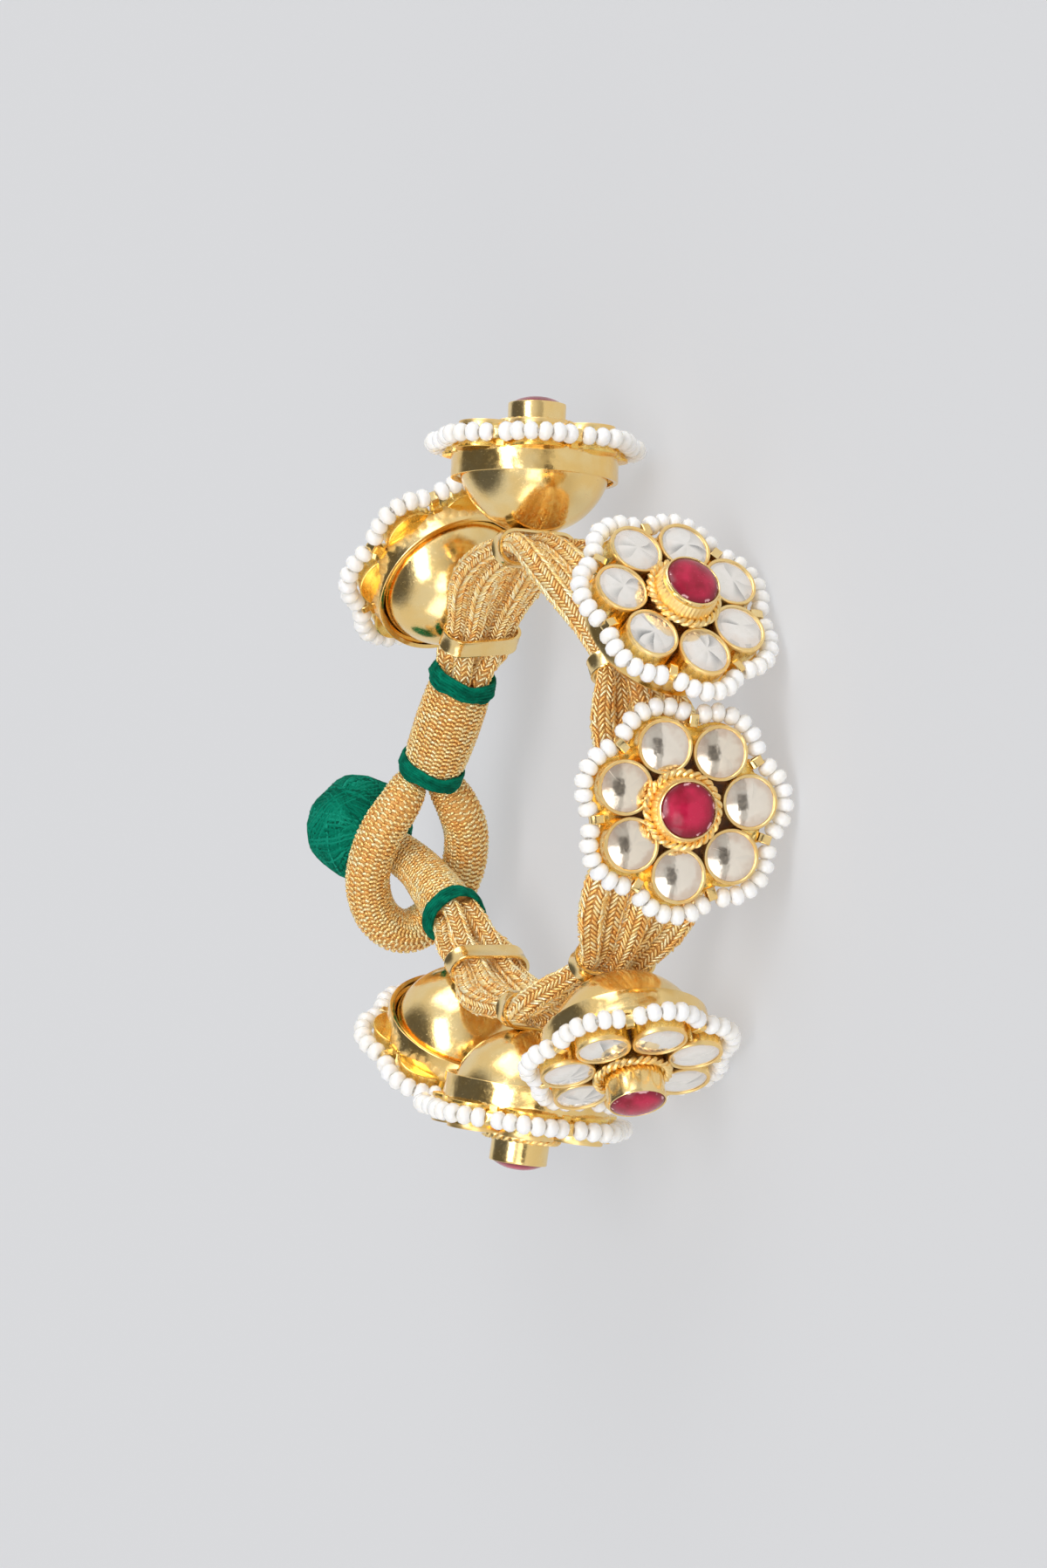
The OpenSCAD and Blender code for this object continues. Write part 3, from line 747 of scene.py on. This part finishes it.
def foil_material():
    material, graph = new_material("foil_under_glass")
    u, v, _ = split_xyz(graph.node("ShaderNodeUVMap", {"uv_map": "stone"}))
    crease, number, warm = (attribute(graph, name) for name in ("crease", "number", "warm"))
    radius = (u * u + v * v).math("SQRT")
    angle = v.math("ARCTAN2", u) + number
    seeded = join_xyz(graph, X=u, Y=v, Z=number)
    wrinkle, edge_wobble, drift = noise(seeded, 2.2, 2.0), noise(seeded, 9.0, 2.0), noise(seeded, 1.1, 0.0)

    # silver that is warm on some stones, and browner towards the rim
    tone = ramp(wrinkle, (0.25, (0.90, 0.89, 0.85)), (0.6, (1.0, 0.99, 0.96)))
    tone = mix(warm * 0.9, tone, (1.0, 0.86, 0.66))
    rim_browning = ease(radius + (wrinkle - 0.5) * 0.9, 0.5, 0.95) * (0.14 + 0.66 * warm)
    tone = mix(rim_browning, tone, RIM_BROWN)

    # folds run from the middle to the rim; on the hard ones one side is painted grey, as shade
    bent = angle + drift * 0.9
    hard = ease(dice((bent / SECTOR).math("FLOOR") % 7.0, number), 0.45, 0.9)
    folded = bent % SECTOR - SECTOR / 2
    facet = radius * folded.math("COSINE") * crease * (0.03 + 0.5 * hard)
    pleat = ease(folded / SECTOR + 0.5, 0.15, 1.0)
    fold_shade = pleat * hard * ease(radius, 0.0, 0.25) * ease(radius * (0.6 + wrinkle), 1.15, 0.6) * crease * 1.25
    tone = mix(fold_shade, tone, FOLD_SHADE_GREY)

    # the rim's short facets get a painted grey reflection at random; a dark brown edge is the painted shadow of the
    # lip
    step = ((angle + wrinkle) / SECTOR * 2.0).math("FLOOR") % 14.0
    rim = ease(radius + wrinkle * 0.1, 0.82, 0.86) * ease(dice(step, number, 3.0), 0.35, 0.9)
    tone = mix(rim * (crease * 0.8).math("MINIMUM", 0.5), tone, RIM_REFLECTION_GREY)
    tone = mix(ease(radius + edge_wobble * 0.12, 0.97, 1.04) * 0.8, tone, LIP_SHADOW_BROWN)
    finish_material(graph, {"Coat Weight": 1.0, "Coat Roughness": 0.01}, {
        "Base Color": tone, "Metallic": (0.55 + warm * 0.55).math("MINIMUM", 1.0),
        "Roughness": 0.05 + 0.08 * wrinkle + 0.06 * warm, "Normal": bump(facet * 0.9 + wrinkle * 0.12, 0.35, MM)})
    return material


foil = foil_material()

# %% Stones
CREASE = (0.5, 0.5, 0.8, 0.08, 0.6, 0.6, 0.5)
WARMTH = (0.4, 0.4, 0.3, 1.0, 0.35, 0.4, 0.4)
STONE_PROFILE = [(STONE_R, -1.12), (STONE_R, -0.40)] + [
    (STONE_R * r, -0.20 + 0.60 * (1 - r ** 2)) for r in (0.985, 0.93, 0.85, 0.72, 0.56, 0.38, 0.19, 0.004)]
STONE_STEPS = 40


def store_numbers(mesh, name, values):
    mesh.attributes.new(name, "FLOAT", "POINT").data.foreach_set("value", values)


for i, flower in enumerate(FLOWERS):
    random = np.random.default_rng(200 + i)
    shape = Shape()
    spots, numbers = [], []
    for k in range(PETALS):
        at = petal_middle(flower[SPIN], k)
        start = len(shape.points)
        shape.lathe(STONE_PROFILE, STONE_STEPS, at=at, closed=False)
        own = (10 * random.random(), CREASE[i] * random.uniform(0.6, 1.1), WARMTH[i] * random.uniform(0.7, 1.0))
        for x, y, z in shape.points[start:]:
            spots.append(((x - at[0]) / STONE_R, (y - at[1]) / STONE_R))
            numbers.append(own)
    stones = shape.mesh(f"petal_glass_{i + 1}", PLACES[i], (foil,), 50)
    layer = stones.uv_layers.new(name="stone")
    for loop in stones.loops:
        layer.data[loop.index].uv = spots[loop.vertex_index]
    for name, values in zip(("number", "crease", "warm"), zip(*numbers)):
        store_numbers(stones, name, values)
    place_piece(stones, "foil_backed_glass", f"petal_stones_{i + 1}")

# %% [markdown]
# ## Rubies
# The middle stone is a red glass cabochon, nearly opaque, with a soft cloudy body and a hard gloss. Its edge is
# slightly uneven where the metal lip is pressed onto it. Its rim is painted darker, as shade, with small painted pale
# highlights. The shape is turned, and each point remembers its distance from the middle for the painted rim.

# %% Ruby glass
ruby_glass, graph = new_material("ruby_glass")
at = object_point(graph)
cloud, grain, rim_glints = noise(at, 330.0, 3.0), noise(at, 2400.0, 2.0), noise(at, 1100.0, 2.0)
reach = attribute(graph, "reach")
red = ramp(cloud, (0.36, (0.25, 0.002, 0.017)), (0.64, (0.52, 0.012, 0.058)))
# the rim painted darker, as shade
red = mix(ease(reach + 0.25 * (cloud - 0.5), 0.72, 1.0) * 0.75, red, (0.15, 0.002, 0.012))
# small painted pale highlights on the rim
red = mix(ease(rim_glints, 0.57, 0.65) * ease(reach, 0.89, 0.95) * 0.8, red, (0.90, 0.52, 0.54))
finish_material(graph, {"Coat Weight": 0.25, "Coat Roughness": 0.03, "Specular IOR Level": 0.3, "IOR": 1.5},
                {"Base Color": red, "Roughness": 0.16 + 0.12 * ease(grain, 0.4, 0.7),
                 "Normal": bump(grain * 0.03 + cloud * 0.1, 0.4, MM)})

# %% Cabochons
RUBY_R, RUBY_EDGE, RUBY_DOME = 3.34, 3.28, 0.95
RUBY_PROFILE = [(3.36, 2.08), (3.37, 3.05), (RUBY_R, RUBY_EDGE)] + [
    (RUBY_R * r, RUBY_EDGE + RUBY_DOME * (1 - r ** 2.4)) for r in (0.97, 0.91, 0.82, 0.68, 0.5, 0.3, 0.12, 0.003)]
for i, (aside, taller) in enumerate(MIDDLES):
    phases = np.random.default_rng(300 + i).uniform(0, 2 * math.pi, 3)

    def uneven(angle, index):
        wave = hand_wave(angle, phases, 2, 1)
        return (0.03 * wave, 0.02 * wave) if index in (2, 3, 4) else (0, 0)

    shape = Shape()
    shape.lathe(RUBY_PROFILE, 56, at=(0, aside, taller), closed=False, wobble=uneven)
    ruby = shape.mesh(f"ruby_cabochon_{i + 1}", PLACES[i], (ruby_glass,), 60)
    store_numbers(ruby, "reach", [math.hypot(x, y - aside) / RUBY_R for x, y, z in shape.points])
    place_piece(ruby, "ruby_glass", f"ruby_{i + 1}")

# %% [markdown]
# ## Bead edging
# White seed beads are short rounded rings of opaque glass with a pearl gloss. Six of them sit on each arc of thread,
# and the arc follows the petal's edge from one thread eye to the next. They are never quite the same size. A tree sets
# one bead after another along each arc, with a small random change of size and lean, and remembers a random tone for
# each bead. The beads have a very faint glow, for the light that real glass passes from one bead to the next.

# %% Pearl white glass
pearl, graph = new_material("pearl_white")
cloud = noise(object_point(graph), 900.0, 2.0)
white = ramp(attribute(graph, "tone") * 0.7 + cloud * 0.3,
             (0.0, (0.90, 0.85, 0.76)), (0.5, (0.95, 0.915, 0.85)), (1.0, (0.97, 0.95, 0.91)))
finish_material(graph, {"Coat Weight": 0.5, "Coat Roughness": 0.05, "IOR": 1.52, "Subsurface Weight": 0.75,
                        "Subsurface Radius": (1.0, 0.9, 0.75), "Subsurface Scale": 0.002,
                        "Emission Color": (1.0, 0.90, 0.78, 1), "Emission Strength": 0.05},
                {"Base Color": white, "Roughness": 0.14 + 0.12 * cloud, "Normal": bump(cloud, 0.08, MM)})

# %% Beads as a geometry tree
WALL_HALF_TURN = 112
LEAN = 0.13


def chance(graph, low, high, seed, **more):
    """A random number for each point, or a random vector between two vectors. more may name its ID."""
    kind, first = ("FLOAT_VECTOR", 0) if isinstance(low, tuple) else ("FLOAT", 2)
    inputs = {first: low, first + 1: high, "Seed": seed, **more}
    return graph.node("FunctionNodeRandomValue", {"data_type": kind}, inputs, first // 2)


def toned(geometry, tone, domain="INSTANCE"):
    """Remembers a tone, which the material reads."""
    return geometry.graph.node("GeometryNodeStoreNamedAttribute", {"data_type": "FLOAT", "domain": domain},
                               {"Geometry": geometry, "Name": "tone", "Value": tone})


set_on_points = word("GeometryNodeInstanceOnPoints", "Points", "Instance", "Rotation", "Scale")
transformed = word("GeometryNodeTransform", "Geometry")
bead_tree, graph, given = new_tree("beads_on_thread", {
    "Beads": 6, "Ring Radius": 0.00050, "Wall Radius": 0.00079, "Length Ratio": 1.14, "Uneven": 0.07,
    "Thread Radius": 0.0002, "Seed": 1, "Glass": None})
arcs, seed = given("Geometry"), given("Seed")
wall = graph.node("GeometryNodeCurveArc", {}, {
    "Resolution": 7, "Radius": given("Wall Radius"), "Start Angle": math.radians(-WALL_HALF_TURN),
    "Sweep Angle": math.radians(2 * WALL_HALF_TURN), "Connect Center": True})
wall = transformed(wall, Scale=join_xyz(graph, X=1.0, Y=given("Length Ratio"), Z=1.0))
bead = smoothed(sweep(circle(graph, 11, given("Ring Radius")), wall))
stations = graph.node("GeometryNodeResampleCurve", {}, {"Curve": arcs, "Count": given("Beads")})
sway = chance(graph, (-LEAN,) * 3, (LEAN,) * 3, seed + 5)
facing = graph.node("FunctionNodeAlignRotationToVector", {"axis": "Z"},
                    {"Vector": graph.node("GeometryNodeInputTangent").vector("ADD", sway)})
low, high = 1.0 - given("Uneven"), 1.0 + given("Uneven")
girth = chance(graph, low, high, seed).math("MINIMUM", 1.0)
size = join_xyz(graph, X=girth, Y=girth, Z=chance(graph, low, 1.0, seed + 7))
strung = toned(set_on_points(stations, bead, facing, size), chance(graph, 0.0, 1.0, seed + 3))
thread = sweep(arcs, circle(graph, 6, given("Thread Radius")), True)
hand_over(covered(made_real(strung, thread), given("Glass")))
print("bead tree has", len(bead_tree.nodes), "nodes")

# %% Thread arcs of each flower
BEADS = 6
BEAD_PITCH = 1.76
THREAD_REACH = 13.0
ARC_R = 5.4
ARC_MIDDLE = THREAD_REACH - ARC_R


def poly_curve(*lines):
    """Curve data from rows of points in millimetres. A point's fourth number, if it has one, is the radius there."""
    data = bpy.data.curves.new("lines", "CURVE")
    data.dimensions = "3D"
    for line in lines:
        line = np.asarray(line, float) * MM
        spline = data.splines.new("POLY")
        spline.points.add(len(line) - 1)
        spline.points.foreach_set("co", np.c_[line[:, :3], np.ones(len(line))].ravel())
        if line.shape[1] > 3:
            spline.points.foreach_set("radius", line[:, 3].copy())
    return data


half_arc = math.degrees((BEADS - 1) / 2 * BEAD_PITCH / ARC_R)
for i, flower in enumerate(FLOWERS):
    lines = []
    for k in range(PETALS):
        to_petal = PLACES[i] @ turn("Z", flower[SPIN] + k * PETAL_TURN)
        lines.append([to_petal @ Vector((x, y, -THREAD_DEPTH))
                      for x, y in arc((ARC_MIDDLE, 0), ARC_R, -half_arc, half_arc, 20)])
    edging = run_tree(f"bead_string_{i + 1}", bead_tree, {"Seed": 11 * i + 1, "Glass": pearl}, poly_curve(*lines))
    place_piece(edging, "white_beads", f"bead_edging_{i + 1}")

# %% [markdown]
# ## Knitted cord
# The band is knitted from metal thread. Its surface is rows of V stitches in columns along the cord, and every stitch
# catches the light on its own, which is why it glitters. The tree walks along the cord and sets both legs of each V on
# the surface. Each stitch has a random tone, and the brightest and darkest tones are painted highlights and painted
# shade. A core lies underneath, painted a warm brown as the shade in the gaps between the stitches, so that they look
# deep. The thread has a faint glow of its own, for the light that metal threads pass on between them.

# %% Metal thread


def thread_material(name, dark, mid, bright, glow):
    material, graph = new_material(name)
    grain = noise(object_point(graph), 4200.0, 2.0)
    # a random tone per stitch; its dark end is painted shade and its bright end painted highlights
    colour = ramp(attribute(graph, "tone") * 0.8 + grain * 0.2, (0.1, dark), (0.4, mid), (0.85, bright))
    finish_material(graph, {"Metallic": 0.5, "Coat Weight": 0.4, "Coat Roughness": 0.12,
                            "Coat Tint": (1.0, 0.9, 0.7, 1), "Emission Strength": glow},
                    {"Base Color": colour, "Emission Color": colour, "Roughness": 0.16 + 0.16 * grain,
                     "Normal": bump(grain, 0.25, 0.4 * MM)})
    return material


def shaded_core_material(name, dark, pale):
    material, graph = new_material(name)
    grain = noise(object_point(graph), 3000.0, 2.0)
    # the core is real thread, and its brown is painted shade for the gaps between the stitches
    brown = ramp(grain, (0.3, dark), (0.7, pale))
    finish_material(graph, {"Metallic": 0.3}, {"Base Color": brown, "Roughness": 0.55 + 0.2 * grain})
    return material


cord_thread = thread_material("gold_cord_thread", (0.95, 0.52, 0.15), (1.0, 0.76, 0.32), (1.0, 0.95, 0.66), 0.11)
knit_thread = thread_material("gold_knit_thread", (0.95, 0.55, 0.17), (1.0, 0.72, 0.28), (1.0, 0.91, 0.56), 0.02)
# the cores are painted darker than the thread, as the shade between the stitches
cord_core_painted_shade = shaded_core_material("cord_core_painted_shade", (0.42, 0.19, 0.045), (0.74, 0.40, 0.11))
knit_core_painted_shade = shaded_core_material("knit_core_painted_shade", (0.66, 0.35, 0.09), (0.92, 0.53, 0.17))

# %% Stitches as a geometry tree: where each leg sits
knit_tree, graph, given = new_tree("knit_on_cord", {
    "Columns": 5, "Pitch": 0.00062, "Leg Length": 0.00180, "Leg Width": 0.00046, "Leg Height": 0.00048, "Slant": 0.64,
    "Base Radius": 0.00165, "Core Share": 0.86, "Sink": 0.95, "Seed": 1, "Thread": None, "Core": None})
line, columns, seed = given("Geometry"), given("Columns"), given("Seed")
rows = (graph.node("GeometryNodeCurveLength", {}, {"Curve": line}) / given("Pitch")).math("FLOOR")
points = graph.node("GeometryNodePoints", {}, {"Count": rows * columns * 2})
index = graph.node("GeometryNodeInputIndex")
sign = index % 2.0 * 2.0 - 1.0
column = (index / 2).math("FLOOR") % columns
row = (index / (columns * 2.0)).math("FLOOR")
jitter = chance(graph, -0.5, 0.5, seed)
radius = graph.node("GeometryNodeInputRadius")
sample = graph.node("GeometryNodeSampleCurve", {"mode": "LENGTH", "data_type": "FLOAT"}, {
    "Curves": line, 1: radius, "Length": (row + 0.5 + (column % 2.0) * 0.5 + jitter * 0.10) * given("Pitch")}, 0)
here, way, normal = sample.out("Position"), sample.out("Tangent"), sample.out("Normal")
binormal = way.vector("CROSS_PRODUCT", normal)
turned = (column + 0.5 + sign * 0.25) * (2 * math.pi) / columns
cosine, sine = turned.math("COSINE"), turned.math("SINE")
outward = normal.scale(cosine).vector("ADD", binormal.scale(sine))
round_way = binormal.scale(cosine).vector("SUBTRACT", normal.scale(sine))
seats = shifted(points, Position=here.vector("ADD", outward.scale(sample * given("Sink"))))
print("knit tree so far has", len(knit_tree.nodes), "nodes")

# %% Stitches as a geometry tree: the leg and the core
UNEVEN = 0.3
slant = given("Slant") + jitter * 0.15
leg_way = way.scale(slant.math("COSINE")).vector("ADD", round_way.scale(slant.math("SINE") * sign))
tilt = chance(graph, (-UNEVEN,) * 3, (UNEVEN,) * 3, seed + 9)
facing = graph.node("FunctionNodeAxesToRotation", {"primary_axis": "Z", "secondary_axis": "X"},
                    {"Primary Axis": outward.vector("ADD", tilt), "Secondary Axis": leg_way})
leg = graph.node("GeometryNodeMeshUVSphere", {}, {"Segments": 4, "Rings": 3, "Radius": 0.5})
leg = smoothed(transformed(leg, Rotation=(0.0, math.pi / 2, 0.0)))
size = join_xyz(graph, X=given("Leg Length"), Y=given("Leg Width"), Z=given("Leg Height"))
size = size.scale(sample / given("Base Radius"))
stitches = toned(set_on_points(seats, leg, facing, size), chance(graph, 0.0, 1.0, seed + 3))
core = smoothed(sweep(line, circle(graph, 12, given("Core Share")), True, radius))
hand_over(made_real(covered(stitches, given("Thread")), covered(core, given("Core"))))
print("knit tree has", len(knit_tree.nodes), "nodes")

# %% [markdown]
# ### Route of the cords
# The cords pass through every crimp side by side, spread out between two crimps and are gathered to a round bundle
# under the green thread at both ends. The construction has the same rule, so the knitted cords lie exactly where the
# plain ones do. A stop is one place along the band: its middle, the ways across and outward, how far the cords are
# spread there, and how far they are gathered.

# %% Stops along the band
TENSION = 0.8
CRIMP_HALF = 1.4
WRAP_1 = np.array([-24.6, 14.9, -1.3])
WRAP_2 = np.array([-33.4, 4.0, -0.4])
WRAP_3 = np.array([-27.5, -15.3, -0.3])
UNDER_WRAP = 0.1
UP = np.array([0.0, 0.0, 1.0])
RAISE = np.array([0, 0, RING_MID, 0])
# middle and radius of the stem cord on its way from the third wrap to the ball
STEM = [(-27.58, -15.25, -0.30, 3.30), (-29.00, -14.30, -0.30, 3.35), (-32.20, -12.10, -0.30, 3.25),
        (-37.20, -8.80, -0.20, 2.85), (-40.20, -6.90, 0.50, 2.70), (-42.86, -5.24, 1.64, 2.60)]


def unit(v):
    return v / np.linalg.norm(v)


def curve_at(p0, d0, p1, d1, t):
    """A smooth curve between two points, from its direction at each of them."""
    return ((2 * t ** 3 - 3 * t ** 2 + 1) * p0 + (t ** 3 - 2 * t ** 2 + t) * d0
            + (3 * t ** 2 - 2 * t ** 3) * p1 + (t ** 3 - t ** 2) * d1)


def crimp_stop(i, side):
    """A crimp's mouth: its middle, the way along the band, the way across, and nothing gathered."""
    along, across, out, middle = np.array(PLACES[i])[:3].T
    at = middle - RAISE[:3] + (FLOWERS[i][SLIDE] - side * CRIMP_HALF) * along - CRIMP_DEPTH * out
    return at, -along, across, 0.0


def span(a, b, steps, spread):
    """The stops between two crimps, or between a crimp and a wrap."""
    pull = TENSION * np.linalg.norm(b[0] - a[0])
    stops = []
    for i in range(steps + 1):
        t = i / steps
        way, across = unit(a[1] + (b[1] - a[1]) * t), unit(a[2] + (b[2] - a[2]) * t)
        out = unit(np.cross(across, way))
        stops.append((curve_at(a[0], pull * a[1], b[0], pull * b[1], t), np.cross(way, out), out,
                      spread * max(math.sin(math.pi * t), 0) ** 1.5,
                      a[3] + (b[3] - a[3]) * (1 - math.cos(math.pi * t)) / 2))
    return stops


neck_way = unit(WRAP_2 - WRAP_1)
stem_way = unit(np.array(STEM[1][:3]) - WRAP_3)
stops = span((WRAP_1 - UNDER_WRAP * neck_way, -neck_way, UP, 1.0), crimp_stop(0, -1), 5, 0.25)
for i in range(len(FLOWERS) - 1):
    stops += span(crimp_stop(i, 1), crimp_stop(i + 1, -1), 8, FLOWERS[i][SPREAD])
stops += span(crimp_stop(-1, 1), (WRAP_3 - UNDER_WRAP * stem_way, stem_way, UP, 1.0), 5, 0.25)
print("stops along the band:", len(stops))

# %% Five knitted cords
# each cord's place beside the others, across the band and outward, in a crimp and where the cords are spread
CORDS = [((-3.85, 0.30), (-6.25, 0.50)), ((-1.80, -0.65), (-3.10, -0.65)), ((0.00, 0.75), (0.00, 0.65)),
         ((1.80, -0.65), (3.10, -0.65)), ((3.85, 0.30), (6.25, 0.50))]
BUNDLE_ANGLES = (162, 234, 90, 306, 18)
BUNDLE_R = 2.15
FREE_R, CRIMPED_R, WRAPPED_R = 1.56, 1.14, 1.22


def smooth_line(rows, steps):
    """A smooth row of places through a table's rows, the radius going along as a fourth number."""
    rows = np.asarray(rows, float)
    made = []
    for i in range(len(rows) - 1):
        before, after = rows[max(i - 1, 0)], rows[min(i + 2, len(rows) - 1)]
        for j in range(steps):
            made.append(curve_at(rows[i], (rows[i + 1] - before) / 2, rows[i + 1], (after - rows[i]) / 2, j / steps))
    return np.array(made + [rows[-1]]) + RAISE


for k, (shut, opened) in enumerate(np.array(CORDS)):
    bundle = np.array(polar(BUNDLE_R, BUNDLE_ANGLES[k]))
    rows = []
    for at, across, out, openness, gathered in stops:
        place = shut + (opened - shut) * openness
        place = place + (bundle - place) * gathered
        radius = CRIMPED_R + (FREE_R - CRIMPED_R) * openness
        radius = radius + (WRAPPED_R - radius) * gathered
        rows.append((*(at + place[0] * across + place[1] * out), radius))
    cord = run_tree(f"knitted_cord_{k + 1}", knit_tree, {"Seed": 20 + k, "Thread": cord_thread, "Core": cord_core_painted_shade},
                    poly_curve(smooth_line(rows, 4)))
    place_piece(cord, "gold_cord", f"band_cord_{k + 1}")

# %% [markdown]
# ## Neck, loop and stem
# These are finer knits: small stitches like scales, more of them round the cord and flatter than the V rows of the
# band. The same tree makes them with other numbers.

# %% Neck, loop and stem
# distance along the neck and its radius there
SHEATH = [(0.1, 3.70), (1.1, 3.80), (2.6, 4.10), (7.0, 4.20), (12.0, 4.00), (13.1, 3.60), (13.9, 3.60)]
# the loop's upper leg: where it runs in the plane of the ring, its height over the loop's middle, its radius
LOOP_LEG = [(-33.58, 3.77, 1.78, 1.70), (-34.08, 3.15, 1.78, 1.70), (-34.80, 2.00, 2.55, 2.35),
            (-34.95, -0.50, 4.10, 2.70), (-36.30, -3.40, 5.80, 2.80), (-38.30, -6.70, 6.60, 2.80),
            (-40.60, -10.10, 6.30, 2.80), (-42.50, -13.30, 4.70, 2.80), (-43.40, -15.40, 2.40, 2.80),
            (-43.70, -16.10, 0.00, 2.80)]
LOOP_MID = -0.4
neck_rows = [(*(WRAP_1 + d * neck_way), r) for d, r in SHEATH]
loop_rows = [(x, y, LOOP_MID + w, r) for x, y, w, r in LOOP_LEG]
loop_rows += [(x, y, LOOP_MID - w, r) for x, y, w, r in LOOP_LEG[-2::-1]]
FINE = {"Pitch": 0.00062, "Leg Length": 0.00086, "Leg Width": 0.00054, "Leg Height": 0.00042, "Slant": 1.25,
        "Sink": 0.965, "Core Share": 0.94, "Thread": knit_thread, "Core": knit_core_painted_shade}
# name, route, columns round the cord, radius that a full-size stitch fits, node
KNITS = [("knitted_neck", neck_rows, 22, 4.1, "neck_sheath"), ("knitted_loop", loop_rows, 16, 2.8, "loop_cord"),
         ("knitted_stem", STEM, 18, 3.1, "stem_cord")]
for name, rows, columns, base, node in KNITS:
    values = {**FINE, "Columns": columns, "Base Radius": base * MM, "Seed": columns}
    knit = run_tree(name, knit_tree, values, poly_curve(smooth_line(rows, 5)))
    place_piece(knit, "gold_knit", node)

# %% [markdown]
# ## Green thread
# The ball is thread wound round and round in bundles that cross each other. The wraps are the same thread wound side
# by side. Silk floss is soft and matte, with a sheen at its edges.

# %% Silk thread
silk, graph = new_material("green_silk")
grain = noise(object_point(graph), 2500.0, 3.0)
green = ramp(attribute(graph, "tone") * 0.7 + grain * 0.3,
             (0.1, (0.0, 0.062, 0.036)), (0.5, (0.0, 0.18, 0.105)), (1.0, (0.01, 0.31, 0.20)))
finish_material(graph, {"Sheen Weight": 0.04, "Sheen Roughness": 0.4, "Sheen Tint": (0.1, 0.9, 0.6, 1),
                        "Specular IOR Level": 0.06},
                {"Base Color": green, "Roughness": 0.62 + 0.25 * grain, "Normal": bump(grain, 0.4, 0.5 * MM)})

# %% Wound ball as a geometry tree
BALL_AT = np.array([-47.4, -2.4, 3.6])


def wandered(curves, scale, wander):
    """Pushes curves about by slow noise, as thread lies when it is wound by hand."""
    swirl = noise(curves.graph.node("GeometryNodeInputPosition"), scale, 1.0).out("Color")
    return shifted(curves, Offset=swirl.vector("SUBTRACT", (0.5, 0.5, 0.5)).scale(wander))


ball_tree, graph, given = new_tree("wound_ball", {
    "Bundles": 40, "Strands": 5, "Radius": 0.0065, "Strand Radius": 0.00028, "Strand Step": 0.00056, "Wander": 0.0016,
    "Seed": 5, "Thread": None})
strands, seed = given("Strands"), given("Seed")
points = graph.node("GeometryNodePoints", {}, {"Count": given("Bundles") * strands})
index = graph.node("GeometryNodeInputIndex")
bundle = (index / strands).math("FLOOR")
bundle_turn = chance(graph, (0.0, 0.0, 0.0), (3.1416, 3.1416, 6.2832), seed, ID=bundle)
off = (index % strands - strands / 2 + 0.5) * given("Strand Step")
bundle_r = given("Radius") * chance(graph, 0.960, 1.0, seed + 2, ID=bundle)
small = (bundle_r * bundle_r - off * off).math("SQRT")
hoops = set_on_points(points, circle(graph, 36, 1.0), bundle_turn, join_xyz(graph, X=small, Y=small, Z=1.0))
hoops = graph.node("GeometryNodeTranslateInstances", {}, {
    "Instances": hoops, "Translation": join_xyz(graph, Z=off), "Local Space": True})
hoops = made_real(toned(hoops, chance(graph, 0.0, 1.0, seed + 3)))
wound = sweep(wandered(hoops, 260.0, given("Wander")), circle(graph, 5, given("Strand Radius")))
heart = graph.node("GeometryNodeMeshUVSphere", {}, {"Segments": 48, "Rings": 24, "Radius": given("Radius") * 0.95})
hand_over(covered(smoothed(made_real(wound, heart)), given("Thread")))

ball = run_tree("wound_ball", ball_tree, {"Thread": silk})
ball.transform(Matrix.Translation(Vector(BALL_AT + (0, 0, RING_MID)) * MM))
place_piece(ball, "green_thread", "thread_ball")

# %% Wound wraps as a geometry tree
LAYER_DEPTHS = (-0.0002, -0.00008, 0.0)
wrap_tree, graph, given = new_tree("wound_wrap", {
    "Turns": 6.0, "Start Radius": 0.004, "End Radius": 0.004, "Width": 0.002, "Strand Radius": 0.00025,
    "Wander": 0.0008, "Thread": None})
layers = []
for layer, depth in enumerate(LAYER_DEPTHS):
    coil = graph.node("GeometryNodeCurveSpiral", {}, {
        "Resolution": 40, "Rotations": given("Turns"), "Start Radius": given("Start Radius") + depth,
        "End Radius": given("End Radius") + depth, "Height": given("Width"), "Reverse": layer == 1})
    coil = wandered(transformed(coil, Rotation=(0.05 * layer, -0.06 * layer, 2.0 * layer)), 420.0, given("Wander"))
    layers.append(sweep(coil, circle(graph, 6, given("Strand Radius")), True))
patch = noise(graph.node("GeometryNodeInputPosition"), 1300.0, 2.0)
wound = toned(made_real(*layers), 0.6 * ease(patch, 0.3, 0.7), "POINT")
hand_over(covered(smoothed(wound), given("Thread")))
print("wrap tree has", len(wrap_tree.nodes), "nodes")

# %% Three wraps
STRAND_ROOM = 0.3
# place, way of the cord inside, width, radius at the start and at the end
WRAPS = [(WRAP_1, neck_way, 2.1, 3.90, 4.20), (WRAP_2, neck_way, 1.9, 4.10, 3.95), (WRAP_3, stem_way, 2.2, 3.75, 3.95)]
for n, (at, way, width, start, end) in enumerate(WRAPS):
    coil_width = (width - STRAND_ROOM) * MM
    wrap = run_tree(f"green_wrap_{n + 1}", wrap_tree, {
        "Start Radius": start * MM, "End Radius": end * MM, "Width": coil_width, "Turns": 5.0, "Thread": silk})
    facing = Vector(way).to_track_quat("Z", "Y").to_matrix().to_4x4()
    middle = Matrix.Translation(Vector(at + (0, 0, RING_MID)) * MM)
    wrap.transform(middle @ facing @ Matrix.Translation((0, 0, -coil_width / 2)))
    place_piece(wrap, "green_thread", f"thread_wrap_{n + 1}")

# %% [markdown]
# ## Last look
# The last cell counts the pieces and their triangles.

# %% Pieces and triangles
total = sum(triangles(piece.data) for piece in pieces)
print("pieces:", len(pieces), "triangles:", total)
